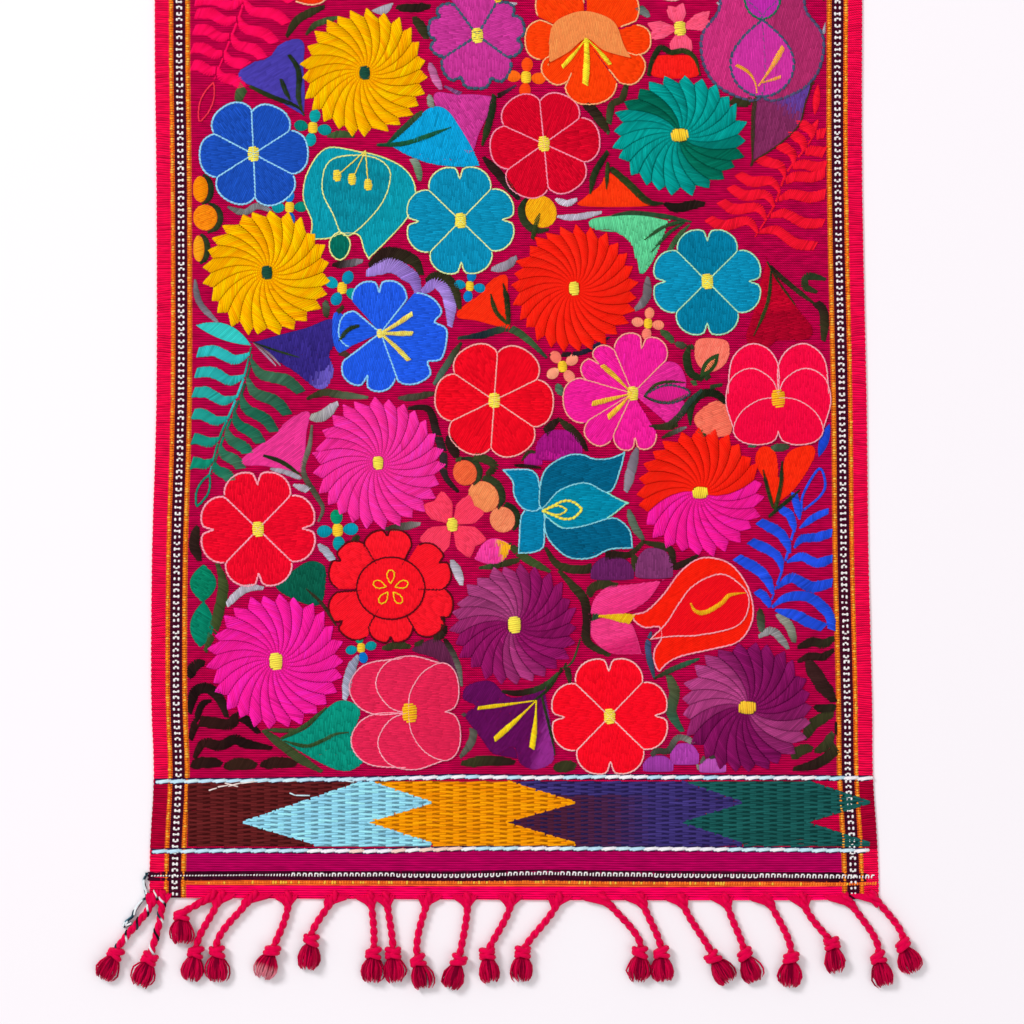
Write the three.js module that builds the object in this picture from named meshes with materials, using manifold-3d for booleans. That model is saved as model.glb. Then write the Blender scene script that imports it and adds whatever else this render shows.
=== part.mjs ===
// Embroidered table runner, lying flat: a hand-woven cotton cloth with a fringe of twisted,
// knotted cords on both ends. Millimetres: X across the cloth, Y along it, Z up from the surface
// that it lies on. The origin is the middle of the cloth's underside.
import * as THREE from 'three';
import { mergeVertices } from 'three/addons/utils/BufferGeometryUtils.js';
import Module from 'manifold-3d';

const wasm = await Module();
wasm.setup();

// The cloth, from the edge of one end strip to the edge of the other.
const CLOTH_LENGTH = 1300;
const CLOTH_THICKNESS = 2.5;
const STEPS_PER_STATION = 3;

// The plain strip at each end, where the warp comes out and is twisted into the fringe.
const STRIP_DEPTH = 8;
const STRIP_THICKNESS = 1.8;
const PIECE_GAP = 0.3;

// One cord: two plies twisted together, ending in an overhand knot and a cut tassel.
const CORD_RADIUS = 2.2;
const CORD_SIDES = 6;
const CORD_STEPS = 4;
const KNOT_RADIUS = 4.7;
const CORD_INSIDE_STRIP = 4;
const LYING_FLATTENING = 0.72;
const TASSEL_SIDES = 8;
const TASSEL_LENGTH = 17;

// The far fringe is laid straight and even.
const FAR_CORDS = 21;
const FAR_CORD_PITCH = 20;
const FAR_KNOT_OUT = 31;
const FAR_LEAN = 4;
const FAR_LEAN_TURN = 2.4;

// How far each side edge lies from the centre line, at stations from one end to the middle.
// The other half of the cloth is the same, turned half round.
const SIDE_STATIONS = [
  { fromEnd: 0, left: 204, right: 206.5 },
  { fromEnd: 30, left: 203.5, right: 205.5 },
  { fromEnd: 70, left: 201.5, right: 203 },
  { fromEnd: 115, left: 203, right: 202.5 },
  { fromEnd: 195, left: 202.5, right: 200.5 },
  { fromEnd: 280, left: 200, right: 199.5 },
  { fromEnd: 400, left: 200, right: 197 },
  { fromEnd: 505, left: 201, right: 197 },
  { fromEnd: 650, left: 198, right: 198 },
];

// How far the end edge bows out past its corners' line, between the corners.
const END_STATIONS = [
  { x: -100, out: 0.8 },
  { x: 50, out: 1.6 },
  { x: 185, out: 1.6 },
];

// Near fringe, one row for each cord: where it leaves the strip, where its knot lies, how far to
// the side it bows on the way, and where its tassel ends. "out" counts from the cloth's end edge.
const NEAR_CORDS = [
  { root: -200, knot: -223, knotOut: 31, bow: 1, tip: -230, tipOut: 45 },
  { root: -197, knot: -204, knotOut: 34, bow: 3, tip: -210, tipOut: 50 },
  { root: -167, knot: -186, knotOut: 9, bow: -1, tip: -186, tipOut: 21 },
  { root: -163, knot: -178, knotOut: 30, bow: -3, tip: -181, tipOut: 47 },
  { root: -144, knot: -166, knotOut: 30, bow: -9, tip: -166, tipOut: 47 },
  { root: -126, knot: -135, knotOut: 29, bow: 4, tip: -141, tipOut: 47 },
  { root: -99, knot: -113, knotOut: 23, bow: -4, tip: -115, tipOut: 37 },
  { root: -80, knot: -78, knotOut: 30, bow: 2, tip: -79, tipOut: 47 },
  { root: -71, knot: -67, knotOut: 30, bow: 1, tip: -66, tipOut: 45 },
  { root: -46, knot: -53, knotOut: 34, bow: -5, tip: -50, tipOut: 48 },
  { root: -25, knot: -30, knotOut: 34, bow: 2, tip: -34, tipOut: 48 },
  { root: 0, knot: -14, knotOut: 30, bow: 3, tip: -12, tipOut: 47 },
  { root: 27, knot: 6, knotOut: 29, bow: 2, tip: 6, tipOut: 46 },
  { root: 50, knot: 72, knotOut: 29, bow: 9, tip: 71, tipOut: 46 },
  { root: 72, knot: 84, knotOut: 29, bow: 2, tip: 86, tipOut: 46 },
  { root: 95, knot: 113, knotOut: 32, bow: -1, tip: 122, tipOut: 46 },
  { root: 120, knot: 131, knotOut: 30, bow: 0, tip: 136, tipOut: 44 },
  { root: 143, knot: 157, knotOut: 32, bow: 5, tip: 156, tipOut: 48 },
  { root: 164, knot: 180, knotOut: 24, bow: -5, tip: 182, tipOut: 37 },
  { root: 187, knot: 206, knotOut: 32, bow: 8, tip: 210, tipOut: 46 },
  { root: 202, knot: 220, knotOut: 26, bow: 7, tip: 226, tipOut: 41 },
];

// A tassel's outline along its length, from the top of the knot to the cut ends.
const TASSEL_PROFILE = [
  { along: -4, radius: 0 },
  { along: 0, radius: KNOT_RADIUS },
  { along: 4, radius: 3.8 },
  { along: 12, radius: 6.7 },
  { along: TASSEL_LENGTH, radius: 4 },
  { along: TASSEL_LENGTH, radius: 0 },
];

function solidOf(geometry) {
  geometry.deleteAttribute('normal');
  geometry.deleteAttribute('uv');
  const merged = mergeVertices(geometry, 1e-4);
  return new wasm.Manifold(new wasm.Mesh({
    numProp: 3,
    vertProperties: new Float32Array(merged.attributes.position.array),
    triVerts: new Uint32Array(merged.index.array),
  }));
}

function geometryOf(solid) {
  const mesh = solid.getMesh();
  const geometry = new THREE.BufferGeometry();
  geometry.setAttribute('position', new THREE.BufferAttribute(mesh.vertProperties, 3));
  geometry.setIndex(new THREE.BufferAttribute(mesh.triVerts, 1));
  geometry.computeVertexNormals();
  return geometry;
}

function turned(points) {
  return points.map((point) => new THREE.Vector2(-point.x, -point.y));
}

// The left edge up from the near end, the far edge to the right, then the same turned half round.
function clothOutline() {
  const end = CLOTH_LENGTH / 2;
  const nearLeft = SIDE_STATIONS.map((s) => new THREE.Vector2(-s.left, s.fromEnd - end));
  const nearRight = SIDE_STATIONS.map((s) => new THREE.Vector2(s.right, s.fromEnd - end));
  const nearEdge = END_STATIONS.map((s) => new THREE.Vector2(s.x, -end - s.out));
  const through = [...nearLeft, ...turned(nearRight).reverse().slice(1)];
  const steps = (through.length - 1) * STEPS_PER_STATION;
  const leftEdge = new THREE.SplineCurve(through).getPoints(steps);
  const halfRound = [...leftEdge, ...turned(nearEdge).reverse()];
  return [...halfRound, ...turned(halfRound)].reverse();
}

function clothBlank() {
  const shape = new THREE.Shape(clothOutline());
  return solidOf(new THREE.ExtrudeGeometry(shape, {
    depth: CLOTH_THICKNESS,
    bevelEnabled: false,
  }));
}

// A block over one end of the cloth, reaching in from past the fringe to `depth` inside the edge.
function endBlock(side, depth, height) {
  const reach = 2 * STRIP_DEPTH;
  const block = new THREE.BoxGeometry(CLOTH_LENGTH, depth + reach, height);
  const middle = CLOTH_LENGTH / 2 - depth / 2 + reach / 2;
  block.translate(0, side * middle, height / 2);
  return solidOf(block);
}

function cordSolid(path) {
  const section = new THREE.Shape();
  section.absarc(0, 0, CORD_RADIUS, 0, 2 * Math.PI);
  return solidOf(new THREE.ExtrudeGeometry(section, {
    curveSegments: CORD_SIDES / 2,
    steps: CORD_STEPS,
    extrudePath: path,
  }));
}

// The knot and its tassel as one lump, lying on the surface with its underside pressed flat.
function tasselSolid(knot, tip) {
  const profile = TASSEL_PROFILE.map((p) => new THREE.Vector2(p.radius, p.along));
  const lump = new THREE.LatheGeometry(profile, TASSEL_SIDES);
  const stretch = knot.distanceTo(tip) / TASSEL_LENGTH;
  const heading = Math.atan2(tip.y - knot.y, tip.x - knot.x) - Math.PI / 2;
  lump.scale(1, stretch, LYING_FLATTENING);
  lump.rotateZ(heading);
  lump.translate(knot.x, knot.y, KNOT_RADIUS * LYING_FLATTENING);
  const position = lump.attributes.position;
  for (let i = 0; i < position.count; i += 1) {
    position.setZ(i, Math.max(0, position.getZ(i)));
  }
  return solidOf(lump);
}

// side is -1 at the near end and +1 at the far end; the cords' x values are as seen from above.
function fringeCord(cord, side) {
  const edge = side * CLOTH_LENGTH / 2;
  const root = new THREE.Vector3(cord.root, edge - side * CORD_INSIDE_STRIP, CORD_RADIUS);
  const knot = new THREE.Vector3(cord.knot, edge + side * cord.knotOut, CORD_RADIUS);
  const tip = new THREE.Vector3(cord.tip, edge + side * cord.tipOut, CORD_RADIUS);
  const bend = root.clone().add(knot).multiplyScalar(0.5);
  bend.x += cord.bow;
  const path = new THREE.QuadraticBezierCurve3(root, bend, knot);
  return cordSolid(path).add(tasselSolid(knot, tip));
}

function fringeComb(blank, cords, side) {
  const strip = blank.intersect(endBlock(side, STRIP_DEPTH, STRIP_THICKNESS));
  return cords.reduce((comb, cord) => comb.add(fringeCord(cord, side)), strip);
}

function farCords() {
  return Array.from({ length: FAR_CORDS }, (_, i) => {
    const root = (i - (FAR_CORDS - 1) / 2) * FAR_CORD_PITCH;
    const lean = FAR_LEAN * Math.sin(FAR_LEAN_TURN * i);
    return {
      root,
      knot: root + lean,
      knotOut: FAR_KNOT_OUT,
      bow: lean / 2,
      tip: root + 1.5 * lean,
      tipOut: FAR_KNOT_OUT + TASSEL_LENGTH,
    };
  });
}

const crimsonCotton = new THREE.MeshStandardMaterial({
  color: 0xb30b4e,
  roughness: 0.9,
  metalness: 0,
});
const roseCotton = new THREE.MeshStandardMaterial({
  color: 0xd80a46,
  roughness: 0.85,
  metalness: 0,
});

function piece(name, solid, material) {
  const mesh = new THREE.Mesh(geometryOf(solid), material);
  mesh.name = name;
  return mesh;
}

const blank = clothBlank();
const cut = STRIP_DEPTH + PIECE_GAP;
const cloth = blank
  .subtract(endBlock(-1, cut, 2 * CLOTH_THICKNESS))
  .subtract(endBlock(1, cut, 2 * CLOTH_THICKNESS));

const runner = new THREE.Group();
runner.add(piece('runner_cloth', cloth, crimsonCotton));
runner.add(piece('fringe_near', fringeComb(blank, NEAR_CORDS, -1), roseCotton));
runner.add(piece('fringe_far', fringeComb(blank, farCords(), 1), roseCotton));

export default runner;
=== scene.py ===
import math

import bpy
import numpy as np
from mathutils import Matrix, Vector
from mathutils.geometry import tessellate_polygon


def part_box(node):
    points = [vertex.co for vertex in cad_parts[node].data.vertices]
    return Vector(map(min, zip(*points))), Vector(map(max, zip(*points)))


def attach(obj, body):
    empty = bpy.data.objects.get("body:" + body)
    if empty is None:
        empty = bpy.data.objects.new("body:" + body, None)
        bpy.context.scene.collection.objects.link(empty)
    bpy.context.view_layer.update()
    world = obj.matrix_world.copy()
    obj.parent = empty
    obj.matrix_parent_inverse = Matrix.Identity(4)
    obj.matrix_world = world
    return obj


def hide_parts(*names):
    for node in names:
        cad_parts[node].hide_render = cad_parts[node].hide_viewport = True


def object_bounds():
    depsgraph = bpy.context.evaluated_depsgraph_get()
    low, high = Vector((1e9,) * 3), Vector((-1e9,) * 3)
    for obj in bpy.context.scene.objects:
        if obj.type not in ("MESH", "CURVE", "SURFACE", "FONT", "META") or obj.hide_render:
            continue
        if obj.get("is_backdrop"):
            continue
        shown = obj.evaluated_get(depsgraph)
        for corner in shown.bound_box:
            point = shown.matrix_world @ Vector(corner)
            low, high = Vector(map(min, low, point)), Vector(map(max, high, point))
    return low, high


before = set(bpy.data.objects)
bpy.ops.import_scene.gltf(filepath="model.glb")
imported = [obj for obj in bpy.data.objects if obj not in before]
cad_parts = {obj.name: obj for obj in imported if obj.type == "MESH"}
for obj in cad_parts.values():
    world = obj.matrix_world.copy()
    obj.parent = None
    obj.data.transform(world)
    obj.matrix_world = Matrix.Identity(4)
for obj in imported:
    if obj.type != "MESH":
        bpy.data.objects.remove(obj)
cad_low, cad_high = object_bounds()

# --------------------------------------
# The table top and the light. The runner lies flat on a pale painted board, seen from straight
# above its fringed end, under one big soft lamp up to the left and weak fill from all round.
VIEW_WIDTH = 0.5765
VIEW_CENTRE_Y = -0.433
CAMERA_HEIGHT = 2.2
SENSOR = 36.0
BOARD_SIZE = 9.0
BOARD_COLOUR = (0.845, 0.838, 0.86, 1)
LAMP_COLOUR = (1, 0.955, 0.975)
LAMP_AIM = Vector((0, -0.3, 0))

scene = bpy.context.scene
scene.view_settings.view_transform = "Standard"
camera_data = bpy.data.cameras.new("overhead_camera")
camera_data.sensor_width = SENSOR
camera_data.lens = SENSOR * (CAMERA_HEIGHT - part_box("runner_cloth")[1].z) / VIEW_WIDTH
camera = bpy.data.objects.new("overhead_camera", camera_data)
camera.location = (0, VIEW_CENTRE_Y, CAMERA_HEIGHT)
scene.collection.objects.link(camera)
scene.camera = camera


def soft_lamp(name, place, size, watts):
    lamp_data = bpy.data.lights.new(name, "AREA")
    lamp_data.shape = "DISK"
    lamp_data.size = size
    lamp_data.energy = watts
    lamp_data.color = LAMP_COLOUR
    lamp = bpy.data.objects.new(name, lamp_data)
    lamp.location = place
    lamp.rotation_euler = (LAMP_AIM - Vector(place)).to_track_quat("-Z", "Y").to_euler()
    scene.collection.objects.link(lamp)


soft_lamp("window_lamp", (-2.5, 1.7, 2.6), 1.4, 119)
soft_lamp("bounce_lamp", (1.6, -1.6, 2.2), 2.4, 16)
room = bpy.data.worlds.new("pale_room")
room.use_nodes = True
room.node_tree.nodes["Background"].inputs["Color"].default_value = (*LAMP_COLOUR, 1)
room.node_tree.nodes["Background"].inputs["Strength"].default_value = 0.65
scene.world = room

board_mesh = bpy.data.meshes.new("board")
half = BOARD_SIZE / 2
board_mesh.from_pydata([(-half, -half, 0), (half, -half, 0), (half, half, 0), (-half, half, 0)],
                       [], [(0, 1, 2, 3)])
board_paint = bpy.data.materials.new("board_paint")
board_paint.use_nodes = True
board_shader = board_paint.node_tree.nodes["Principled BSDF"]
board_shader.inputs["Base Color"].default_value = BOARD_COLOUR
board_shader.inputs["Roughness"].default_value = 0.9
board_shader.inputs["Specular IOR Level"].default_value = 0.1
board_mesh.materials.append(board_paint)
board = bpy.data.objects.new("board", board_mesh)
scene.collection.objects.link(board)
board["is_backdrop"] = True

# --------------------------------------
# The cloth. One length of hand-woven cotton, its crimson weft beaten down into ribs, with rose
# selvedges and thin orange and black warp stripes along both sides. It is woven to width, so
# its side edges wander a little and scallop where each thick weft turns back.
MM = 0.001
CLOTH_TOP = 1.3
SWELL = 0.06
RIB = 1.3
RIB_HEIGHT = 0.16
SCALLOP = 3.1
HALF_WIDTH_FLAT = 200.0
END_EDGE = (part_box("fringe_near")[1].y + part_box("runner_cloth")[0].y) / 2 / MM
STRIP_DEPTH = 8.3
HALF_LENGTH = STRIP_DEPTH - END_EDGE
END_BOW_AT = (-204.0, -100.0, 50.0, 185.0, 206.0)
END_BOW = (0.0, 0.8, 1.6, 1.6, 0.0)
CLOTH_COLUMNS = (-1, -0.985, -0.963, -0.93, -0.8, -0.65, -0.5, -0.33, -0.16)

outline = np.array([v.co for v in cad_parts["runner_cloth"].data.vertices]) / MM
left_edge = np.unique(outline[outline[:, 0] < -190].round(4), axis=0)
left_edge = left_edge[np.argsort(left_edge[:, 1])]
right_edge = np.unique(outline[outline[:, 0] > 190].round(4), axis=0)
right_edge = right_edge[np.argsort(right_edge[:, 1])]


def cloth_x(across, along):
    """Where a thread lies: across runs from -1 to 1 between the edges, along is mm from the middle."""
    left = np.interp(along, left_edge[:, 1], left_edge[:, 0])
    right = np.interp(along, right_edge[:, 1], right_edge[:, 0])
    return left + (right - left) * (across + 1) / 2


def end_bow(x, along):
    """How far the end edge bows out past a straight line; it fades away from the ends."""
    bow = np.interp(x * -np.sign(along), END_BOW_AT, END_BOW)
    return np.sign(along) * bow * (np.abs(along) / HALF_LENGTH) ** 12


def soft_noise(x, y, scale, seed):
    """A smooth wandering value from -1 to 1, as hand tension gives."""
    draw = np.random.default_rng(seed)
    total = np.zeros(np.broadcast(x, y).shape)
    for _ in range(6):
        heading, phase = draw.uniform(0, 2 * math.pi, 2)
        wave = draw.uniform(0.6, 1.7) / scale
        total += np.sin((x * math.cos(heading) + y * math.sin(heading)) * wave * 6.28 + phase)
    return total / 3.5


def cloth_top(x, along):
    """Height of the cloth's upper side, which lies in shallow swells."""
    settled = 1 - (np.abs(along) / HALF_LENGTH) ** 20
    return CLOTH_TOP + SWELL * soft_noise(x, along, 60, 5) * settled


def mesh_piece(name, points, faces, material, uvs, colours=None, smooth=True):
    """A mesh in metres from arrays in mm, with its thread colours and its named UV maps."""
    mesh = bpy.data.meshes.new(name)
    faces = np.asarray(faces, np.int32)
    corners = faces.shape[1]
    mesh.vertices.add(len(points))
    mesh.vertices.foreach_set("co", (np.asarray(points) * MM).astype(np.float32).ravel())
    mesh.loops.add(faces.size)
    mesh.loops.foreach_set("vertex_index", faces.ravel())
    mesh.polygons.add(len(faces))
    mesh.polygons.foreach_set("loop_start", np.arange(len(faces), dtype=np.int32) * corners)
    mesh.update(calc_edges=True)
    if colours is not None:
        layer = mesh.color_attributes.new("thread", "FLOAT_COLOR", "POINT")
        rgba = np.ones((len(points), 4), np.float32)
        rgba[:, :3] = colours
        layer.data.foreach_set("color", rgba.ravel())
    for uv_name, coordinates in uvs:
        layer = mesh.uv_layers.new(name=uv_name, do_init=False)
        layer.uv.foreach_set("vector", coordinates[faces.ravel()].astype(np.float32).ravel())
    mesh.polygons.foreach_set("use_smooth", np.full(len(faces), smooth))
    mesh.materials.append(material)
    mesh.validate()
    piece = bpy.data.objects.new(name, mesh)
    scene.collection.objects.link(piece)
    return piece


def linear(colour):
    """A thread colour, given as on a shade card, as the light that the renderer works with."""
    value = np.array([int(colour[i:i + 2], 16) for i in (0, 2, 4)]) / 255
    return np.where(value <= 0.04045, value / 12.92, ((value + 0.055) / 1.055) ** 2.4)


def new_material(name):
    material = bpy.data.materials.new(name)
    material.use_nodes = True
    return material, material.node_tree, material.node_tree.nodes["Principled BSDF"]


def add_node(tree, kind, inputs, **settings):
    """A shader node; inputs gives each socket a value or the output that feeds it."""
    node = tree.nodes.new("ShaderNode" + kind)
    for name, value in settings.items():
        setattr(node, name, value)
    for socket, value in inputs.items():
        if hasattr(value, "links"):
            tree.links.new(value, node.inputs[socket])
        else:
            node.inputs[socket].default_value = value
    return node


def math_node(tree, operation, *values):
    return add_node(tree, "Math", dict(enumerate((*values, 0.0, 0.0)[:3])), operation=operation).outputs[0]


def scaled(tree, vector, factor):
    return add_node(tree, "VectorMath", {0: vector, "Scale": factor}, operation="SCALE").outputs[0]


def stripes(tree, distance, span, bands):
    """A ramp of hard-edged bands: each runs from its distance, in mm, to the next one's."""
    ramp = add_node(tree, "ValToRGB", {"Fac": math_node(tree, "DIVIDE", distance, span)})
    ramp.color_ramp.interpolation = "CONSTANT"
    elements = ramp.color_ramp.elements
    elements.remove(elements[1])
    for i, (start, colour) in enumerate(bands):
        stop = elements[0] if i == 0 else elements.new(start / span)
        stop.position = start / span
        stop.color = (*linear(colour), 1)
    return ramp.outputs["Color"]


def fibre_group():
    """Cotton seen close, from strand coordinates: fine twist with painted shade in its grooves, and patchy
    dye.
    """
    group = bpy.data.node_groups.new("cotton_fibre", "ShaderNodeTree")
    for name, way, kind in (("Strand", "INPUT", "Vector"), ("Colour", "INPUT", "Color"),
                            ("Fineness", "INPUT", "Float"), ("Mottle", "INPUT", "Float"),
                            ("Colour", "OUTPUT", "Color"), ("Height", "OUTPUT", "Float"),
                            ("Roughness", "OUTPUT", "Float")):
        group.interface.new_socket(name=name, in_out=way, socket_type="NodeSocket" + kind)
    held = group.nodes.new("NodeGroupInput").outputs
    given = group.nodes.new("NodeGroupOutput").inputs
    at = scaled(group, held["Strand"], held["Fineness"])
    twist = add_node(group, "TexWave", {"Vector": at, "Scale": 0.9, "Distortion": 2.5, "Detail": 2.0},
                     bands_direction="DIAGONAL").outputs["Fac"]
    fluff = add_node(group, "TexNoise", {"Vector": at, "Scale": 1.7, "Detail": 4.0}).outputs["Fac"]
    dye = add_node(group, "TexNoise", {"Vector": at, "Scale": 0.35, "Detail": 3.0}).outputs["Fac"]
    patchy = math_node(group, "MULTIPLY", math_node(group, "SUBTRACT", dye, 0.5), held["Mottle"])
    # The twist darkens the colour in its grooves: painted shade.
    twist_shade = math_node(group, "MULTIPLY_ADD", twist, 0.12, 0.94)
    gain = math_node(group, "ADD", patchy, twist_shade)
    group.links.new(scaled(group, held["Colour"], gain), given["Colour"])
    group.links.new(math_node(group, "MULTIPLY_ADD", fluff, 0.6, twist), given["Height"])
    group.links.new(math_node(group, "MULTIPLY_ADD", fluff, 0.25, 0.48), given["Roughness"])
    return group


cotton_fibre = fibre_group()


def fibre_node(tree, shader, strand, colour, fineness, mottle, bump, depth):
    """Places the cotton_fibre group in a material and joins it to the shader."""
    node = tree.nodes.new("ShaderNodeGroup")
    node.node_tree = cotton_fibre
    tree.links.new(strand, node.inputs["Strand"])
    tree.links.new(colour, node.inputs["Colour"])
    node.inputs["Fineness"].default_value = fineness
    node.inputs["Mottle"].default_value = mottle
    relief = add_node(tree, "Bump", {"Strength": bump, "Distance": depth, "Height": node.outputs["Height"]})
    tree.links.new(node.outputs["Colour"], shader.inputs["Base Color"])
    tree.links.new(node.outputs["Roughness"], shader.inputs["Roughness"])
    tree.links.new(relief.outputs["Normal"], shader.inputs["Normal"])
    return node, relief


DOUBLED_RED = "A8002C"
WARP_GRAIN = 1.25
SIDE_STRIPES = (
    (0.0, "EA0846"), (7.7, "D85C12"), (10.2, "340A1E"), (16.9, "D06410"), (19.8, "B40042"),
)
END_STRIPES = (
    (0.0, "F80058"), (7.2, "F06420"), (9.9, "380A20"), (14.4, "B20056"), (27.0, "C8003C"), (66.4, "B40042"),
)


def cloth_material():
    material, tree, shader = new_material("woven_cloth")
    weave = add_node(tree, "UVMap", {}, uv_map="weave").outputs["UV"]
    axes = add_node(tree, "SeparateXYZ", {0: weave}).outputs
    from_side = math_node(tree, "SUBTRACT", HALF_WIDTH_FLAT, math_node(tree, "ABSOLUTE", axes["X"]))
    from_end = math_node(tree, "SUBTRACT", HALF_LENGTH, math_node(tree, "ABSOLUTE", axes["Y"]))
    warp = add_node(tree, "Mix", {"Factor": math_node(tree, "LESS_THAN", from_side, SIDE_STRIPES[-1][0])},
                    data_type="RGBA")
    tree.links.new(stripes(tree, from_end, 100.0, END_STRIPES), warp.inputs["A"])
    tree.links.new(stripes(tree, from_side, 25.0, SIDE_STRIPES), warp.inputs["B"])
    # The selvedge is a deeper red beside the brocaded band, where the weft is doubled.
    past = math_node(tree, "GREATER_THAN", from_end, END_STRIPES[4][0])
    short = math_node(tree, "LESS_THAN", from_end, END_STRIPES[-1][0])
    outer = math_node(tree, "LESS_THAN", from_side, SIDE_STRIPES[1][0])
    doubled = math_node(tree, "MULTIPLY", math_node(tree, "MULTIPLY", past, short), outer)
    deep = add_node(tree, "Mix", {"Factor": doubled}, data_type="RGBA")
    tree.links.new(warp.outputs["Result"], deep.inputs["A"])
    deep.inputs["B"].default_value = (*linear(DOUBLED_RED), 1)
    # Each rib is lit on its crown and dark in the groove to the next; its thickness wanders.
    streak = add_node(tree, "Mapping", {"Vector": weave, "Scale": (0.12, 0.62, 1)}).outputs["Vector"]
    wander = add_node(tree, "TexNoise", {"Vector": streak, "Scale": 1.0, "Detail": 3.0}).outputs["Fac"]
    turn = math_node(tree, "MULTIPLY", axes["Y"], 2 * math.pi / RIB)
    swayed = math_node(tree, "MULTIPLY_ADD", wander, 3.0, turn)
    crest = math_node(tree, "MULTIPLY_ADD", math_node(tree, "COSINE", swayed), 0.48, 0.93)
    # Warp threads show through the ribs as a fine grain across them.
    grain_turn = math_node(tree, "MULTIPLY_ADD", axes["X"], 2 * math.pi / WARP_GRAIN, swayed)
    grain = math_node(tree, "MULTIPLY_ADD", math_node(tree, "COSINE", grain_turn), 0.36, 1.0)
    # Some picks are lighter and some darker for a few centimetres.
    pick = math_node(tree, "MULTIPLY_ADD", wander, 1.3, 0.35)
    shade = math_node(tree, "MULTIPLY", math_node(tree, "MULTIPLY", crest, grain), pick)
    lit = scaled(tree, deep.outputs["Result"], shade)
    node, relief = fibre_node(tree, shader, weave, lit, 0.8, 0.5, 0.5, 0.0002)
    ridge = math_node(tree, "MULTIPLY_ADD", shade, 2.0, node.outputs["Height"])
    tree.links.new(ridge, relief.inputs["Height"])
    shader.inputs["Specular IOR Level"].default_value = 0.4
    shader.inputs["Specular Tint"].default_value = (1.0, 0.02, 0.2, 1)
    shader.inputs["Sheen Weight"].default_value = 0.03
    shader.inputs["Sheen Tint"].default_value = (1.0, 0.05, 0.25, 1)
    return material


def cloth_mesh():
    rows = 2 * int(round(2 * HALF_LENGTH / RIB / 2) * 2) + 1
    along = np.linspace(-HALF_LENGTH, HALF_LENGTH, rows)[:, None]
    columns = np.array([*CLOTH_COLUMNS, *[-c for c in reversed(CLOTH_COLUMNS)]])[None, :]
    x = cloth_x(columns, along)
    edge = np.abs(columns) > 0.99
    x += np.sign(columns) * edge * 0.45 * np.abs(np.sin(math.pi * along / SCALLOP))
    y = along + end_bow(x, along)
    inside = 1 - (np.abs(along) / HALF_LENGTH) ** 20
    y = y + inside * 0.7 * soft_noise(x, along, 34, 3)
    ridge = RIB_HEIGHT * np.where(np.arange(rows)[:, None] % 2, -1, 1)
    turned = np.abs(columns) > 0.95
    z = cloth_top(x, along) + ridge
    z += turned * (0.2 * np.cos(2 * math.pi * along / SCALLOP) - 0.25 * edge)
    top = np.stack(np.broadcast_arrays(x, y, z), -1)
    wide = columns.shape[1]
    under = top[:, [0, wide - 1]].copy()
    under[:, :, 2] = 0.0
    flat = np.stack(np.broadcast_arrays(columns * HALF_WIDTH_FLAT, along), -1)
    points = np.concatenate([top.reshape(-1, 3), under.reshape(-1, 3)])
    weave = np.concatenate([flat.reshape(-1, 2), flat[:, [0, wide - 1]].reshape(-1, 2)])
    i, j = np.meshgrid(np.arange(rows - 1), np.arange(wide - 1), indexing="ij")
    a = (i * wide + j).ravel()
    faces = [np.stack([a, a + 1, a + 1 + wide, a + wide], 1)]
    low = rows * wide
    r = np.arange(rows - 1)
    left, right = low + 2 * r, low + 2 * r + 1
    faces.append(np.stack([left, left + 2, right + 2, right], 1))
    faces.append(np.stack([left, r * wide, (r + 1) * wide, left + 2], 1))
    faces.append(np.stack([right + 2, (r + 2) * wide - 1, (r + 1) * wide - 1, right], 1))
    for row, order in ((0, -1), (rows - 1, 1)):
        corner = low + 2 * row
        rim = [*range(row * wide, (row + 1) * wide), corner + 1]
        faces.append(np.array([(corner, *rim[k:k + 3])[::order] for k in range(0, wide, 2)]))
    return points, np.concatenate(faces), weave


points, faces, weave = cloth_mesh()
spread = (weave + (HALF_WIDTH_FLAT, HALF_LENGTH)) / (2 * HALF_WIDTH_FLAT, 2 * HALF_LENGTH)
cloth = mesh_piece("runner_ground", points, faces, cloth_material(),
                   (("weave", weave), ("OFBake", 0.005 + 0.99 * spread)), smooth=False)
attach(cloth, "root")
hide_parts("runner_cloth")

# --------------------------------------
# The side borders. Along each side run two lines of ribbed orange warp and, between them, a
# black stripe with a ladder of white brocade marks, all woven in as the cloth is made.
# Each thread that lies over the cloth here and below is a low arch that dips in at both ends.
SHOULDER = 0.45
SINK = 0.35
WHITE_AT = 13.6
WHITE_STEP = 3.35
WHITE_SIDES = 1.2
ORANGE_LINES = ((8.8, 2.3), (18.3, 2.4))
ORANGE_STEP = 1.45
ORANGE_WIDTH, ORANGE_LIFT = 1.25, 0.65
SEAM_SHADE, ENDS_SHADE, CROWN_SHADE = 0.64, 0.62, 1.22


def laid_threads(x0, y0, x1, y1, width, lift, colour):
    """One row for each thread: where it starts and ends, its width, its rise and its colour."""
    columns = np.broadcast_arrays(x0, y0, x1, y1, width, lift)
    count = columns[0].size
    tints = np.broadcast_to(np.reshape(colour, (-1, 3)), (count, 3))
    return np.column_stack([*[c.reshape(-1) for c in columns], tints])


def varied(colour, count, spread, seed):
    """The colour for each of many threads, some of them lighter, some darker."""
    draw = np.random.default_rng(seed)
    return colour * (1 + spread * draw.normal(0, 1, (count, 1))).clip(0.6, 1.5)


def thread_material(name, bump, mottle):
    """Soft cotton thread, coloured strand by strand."""
    material, tree, shader = new_material(name)
    strand = add_node(tree, "UVMap", {}, uv_map="strand").outputs["UV"]
    dyed = add_node(tree, "VertexColor", {}, layer_name="thread").outputs["Color"]
    fibre_node(tree, shader, strand, dyed, 2.2, mottle, bump, 0.0001)
    # Dyed cotton glints in its own colour.
    tree.links.new(dyed, shader.inputs["Specular Tint"])
    shader.inputs["Specular IOR Level"].default_value = 0.4
    return material


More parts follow.
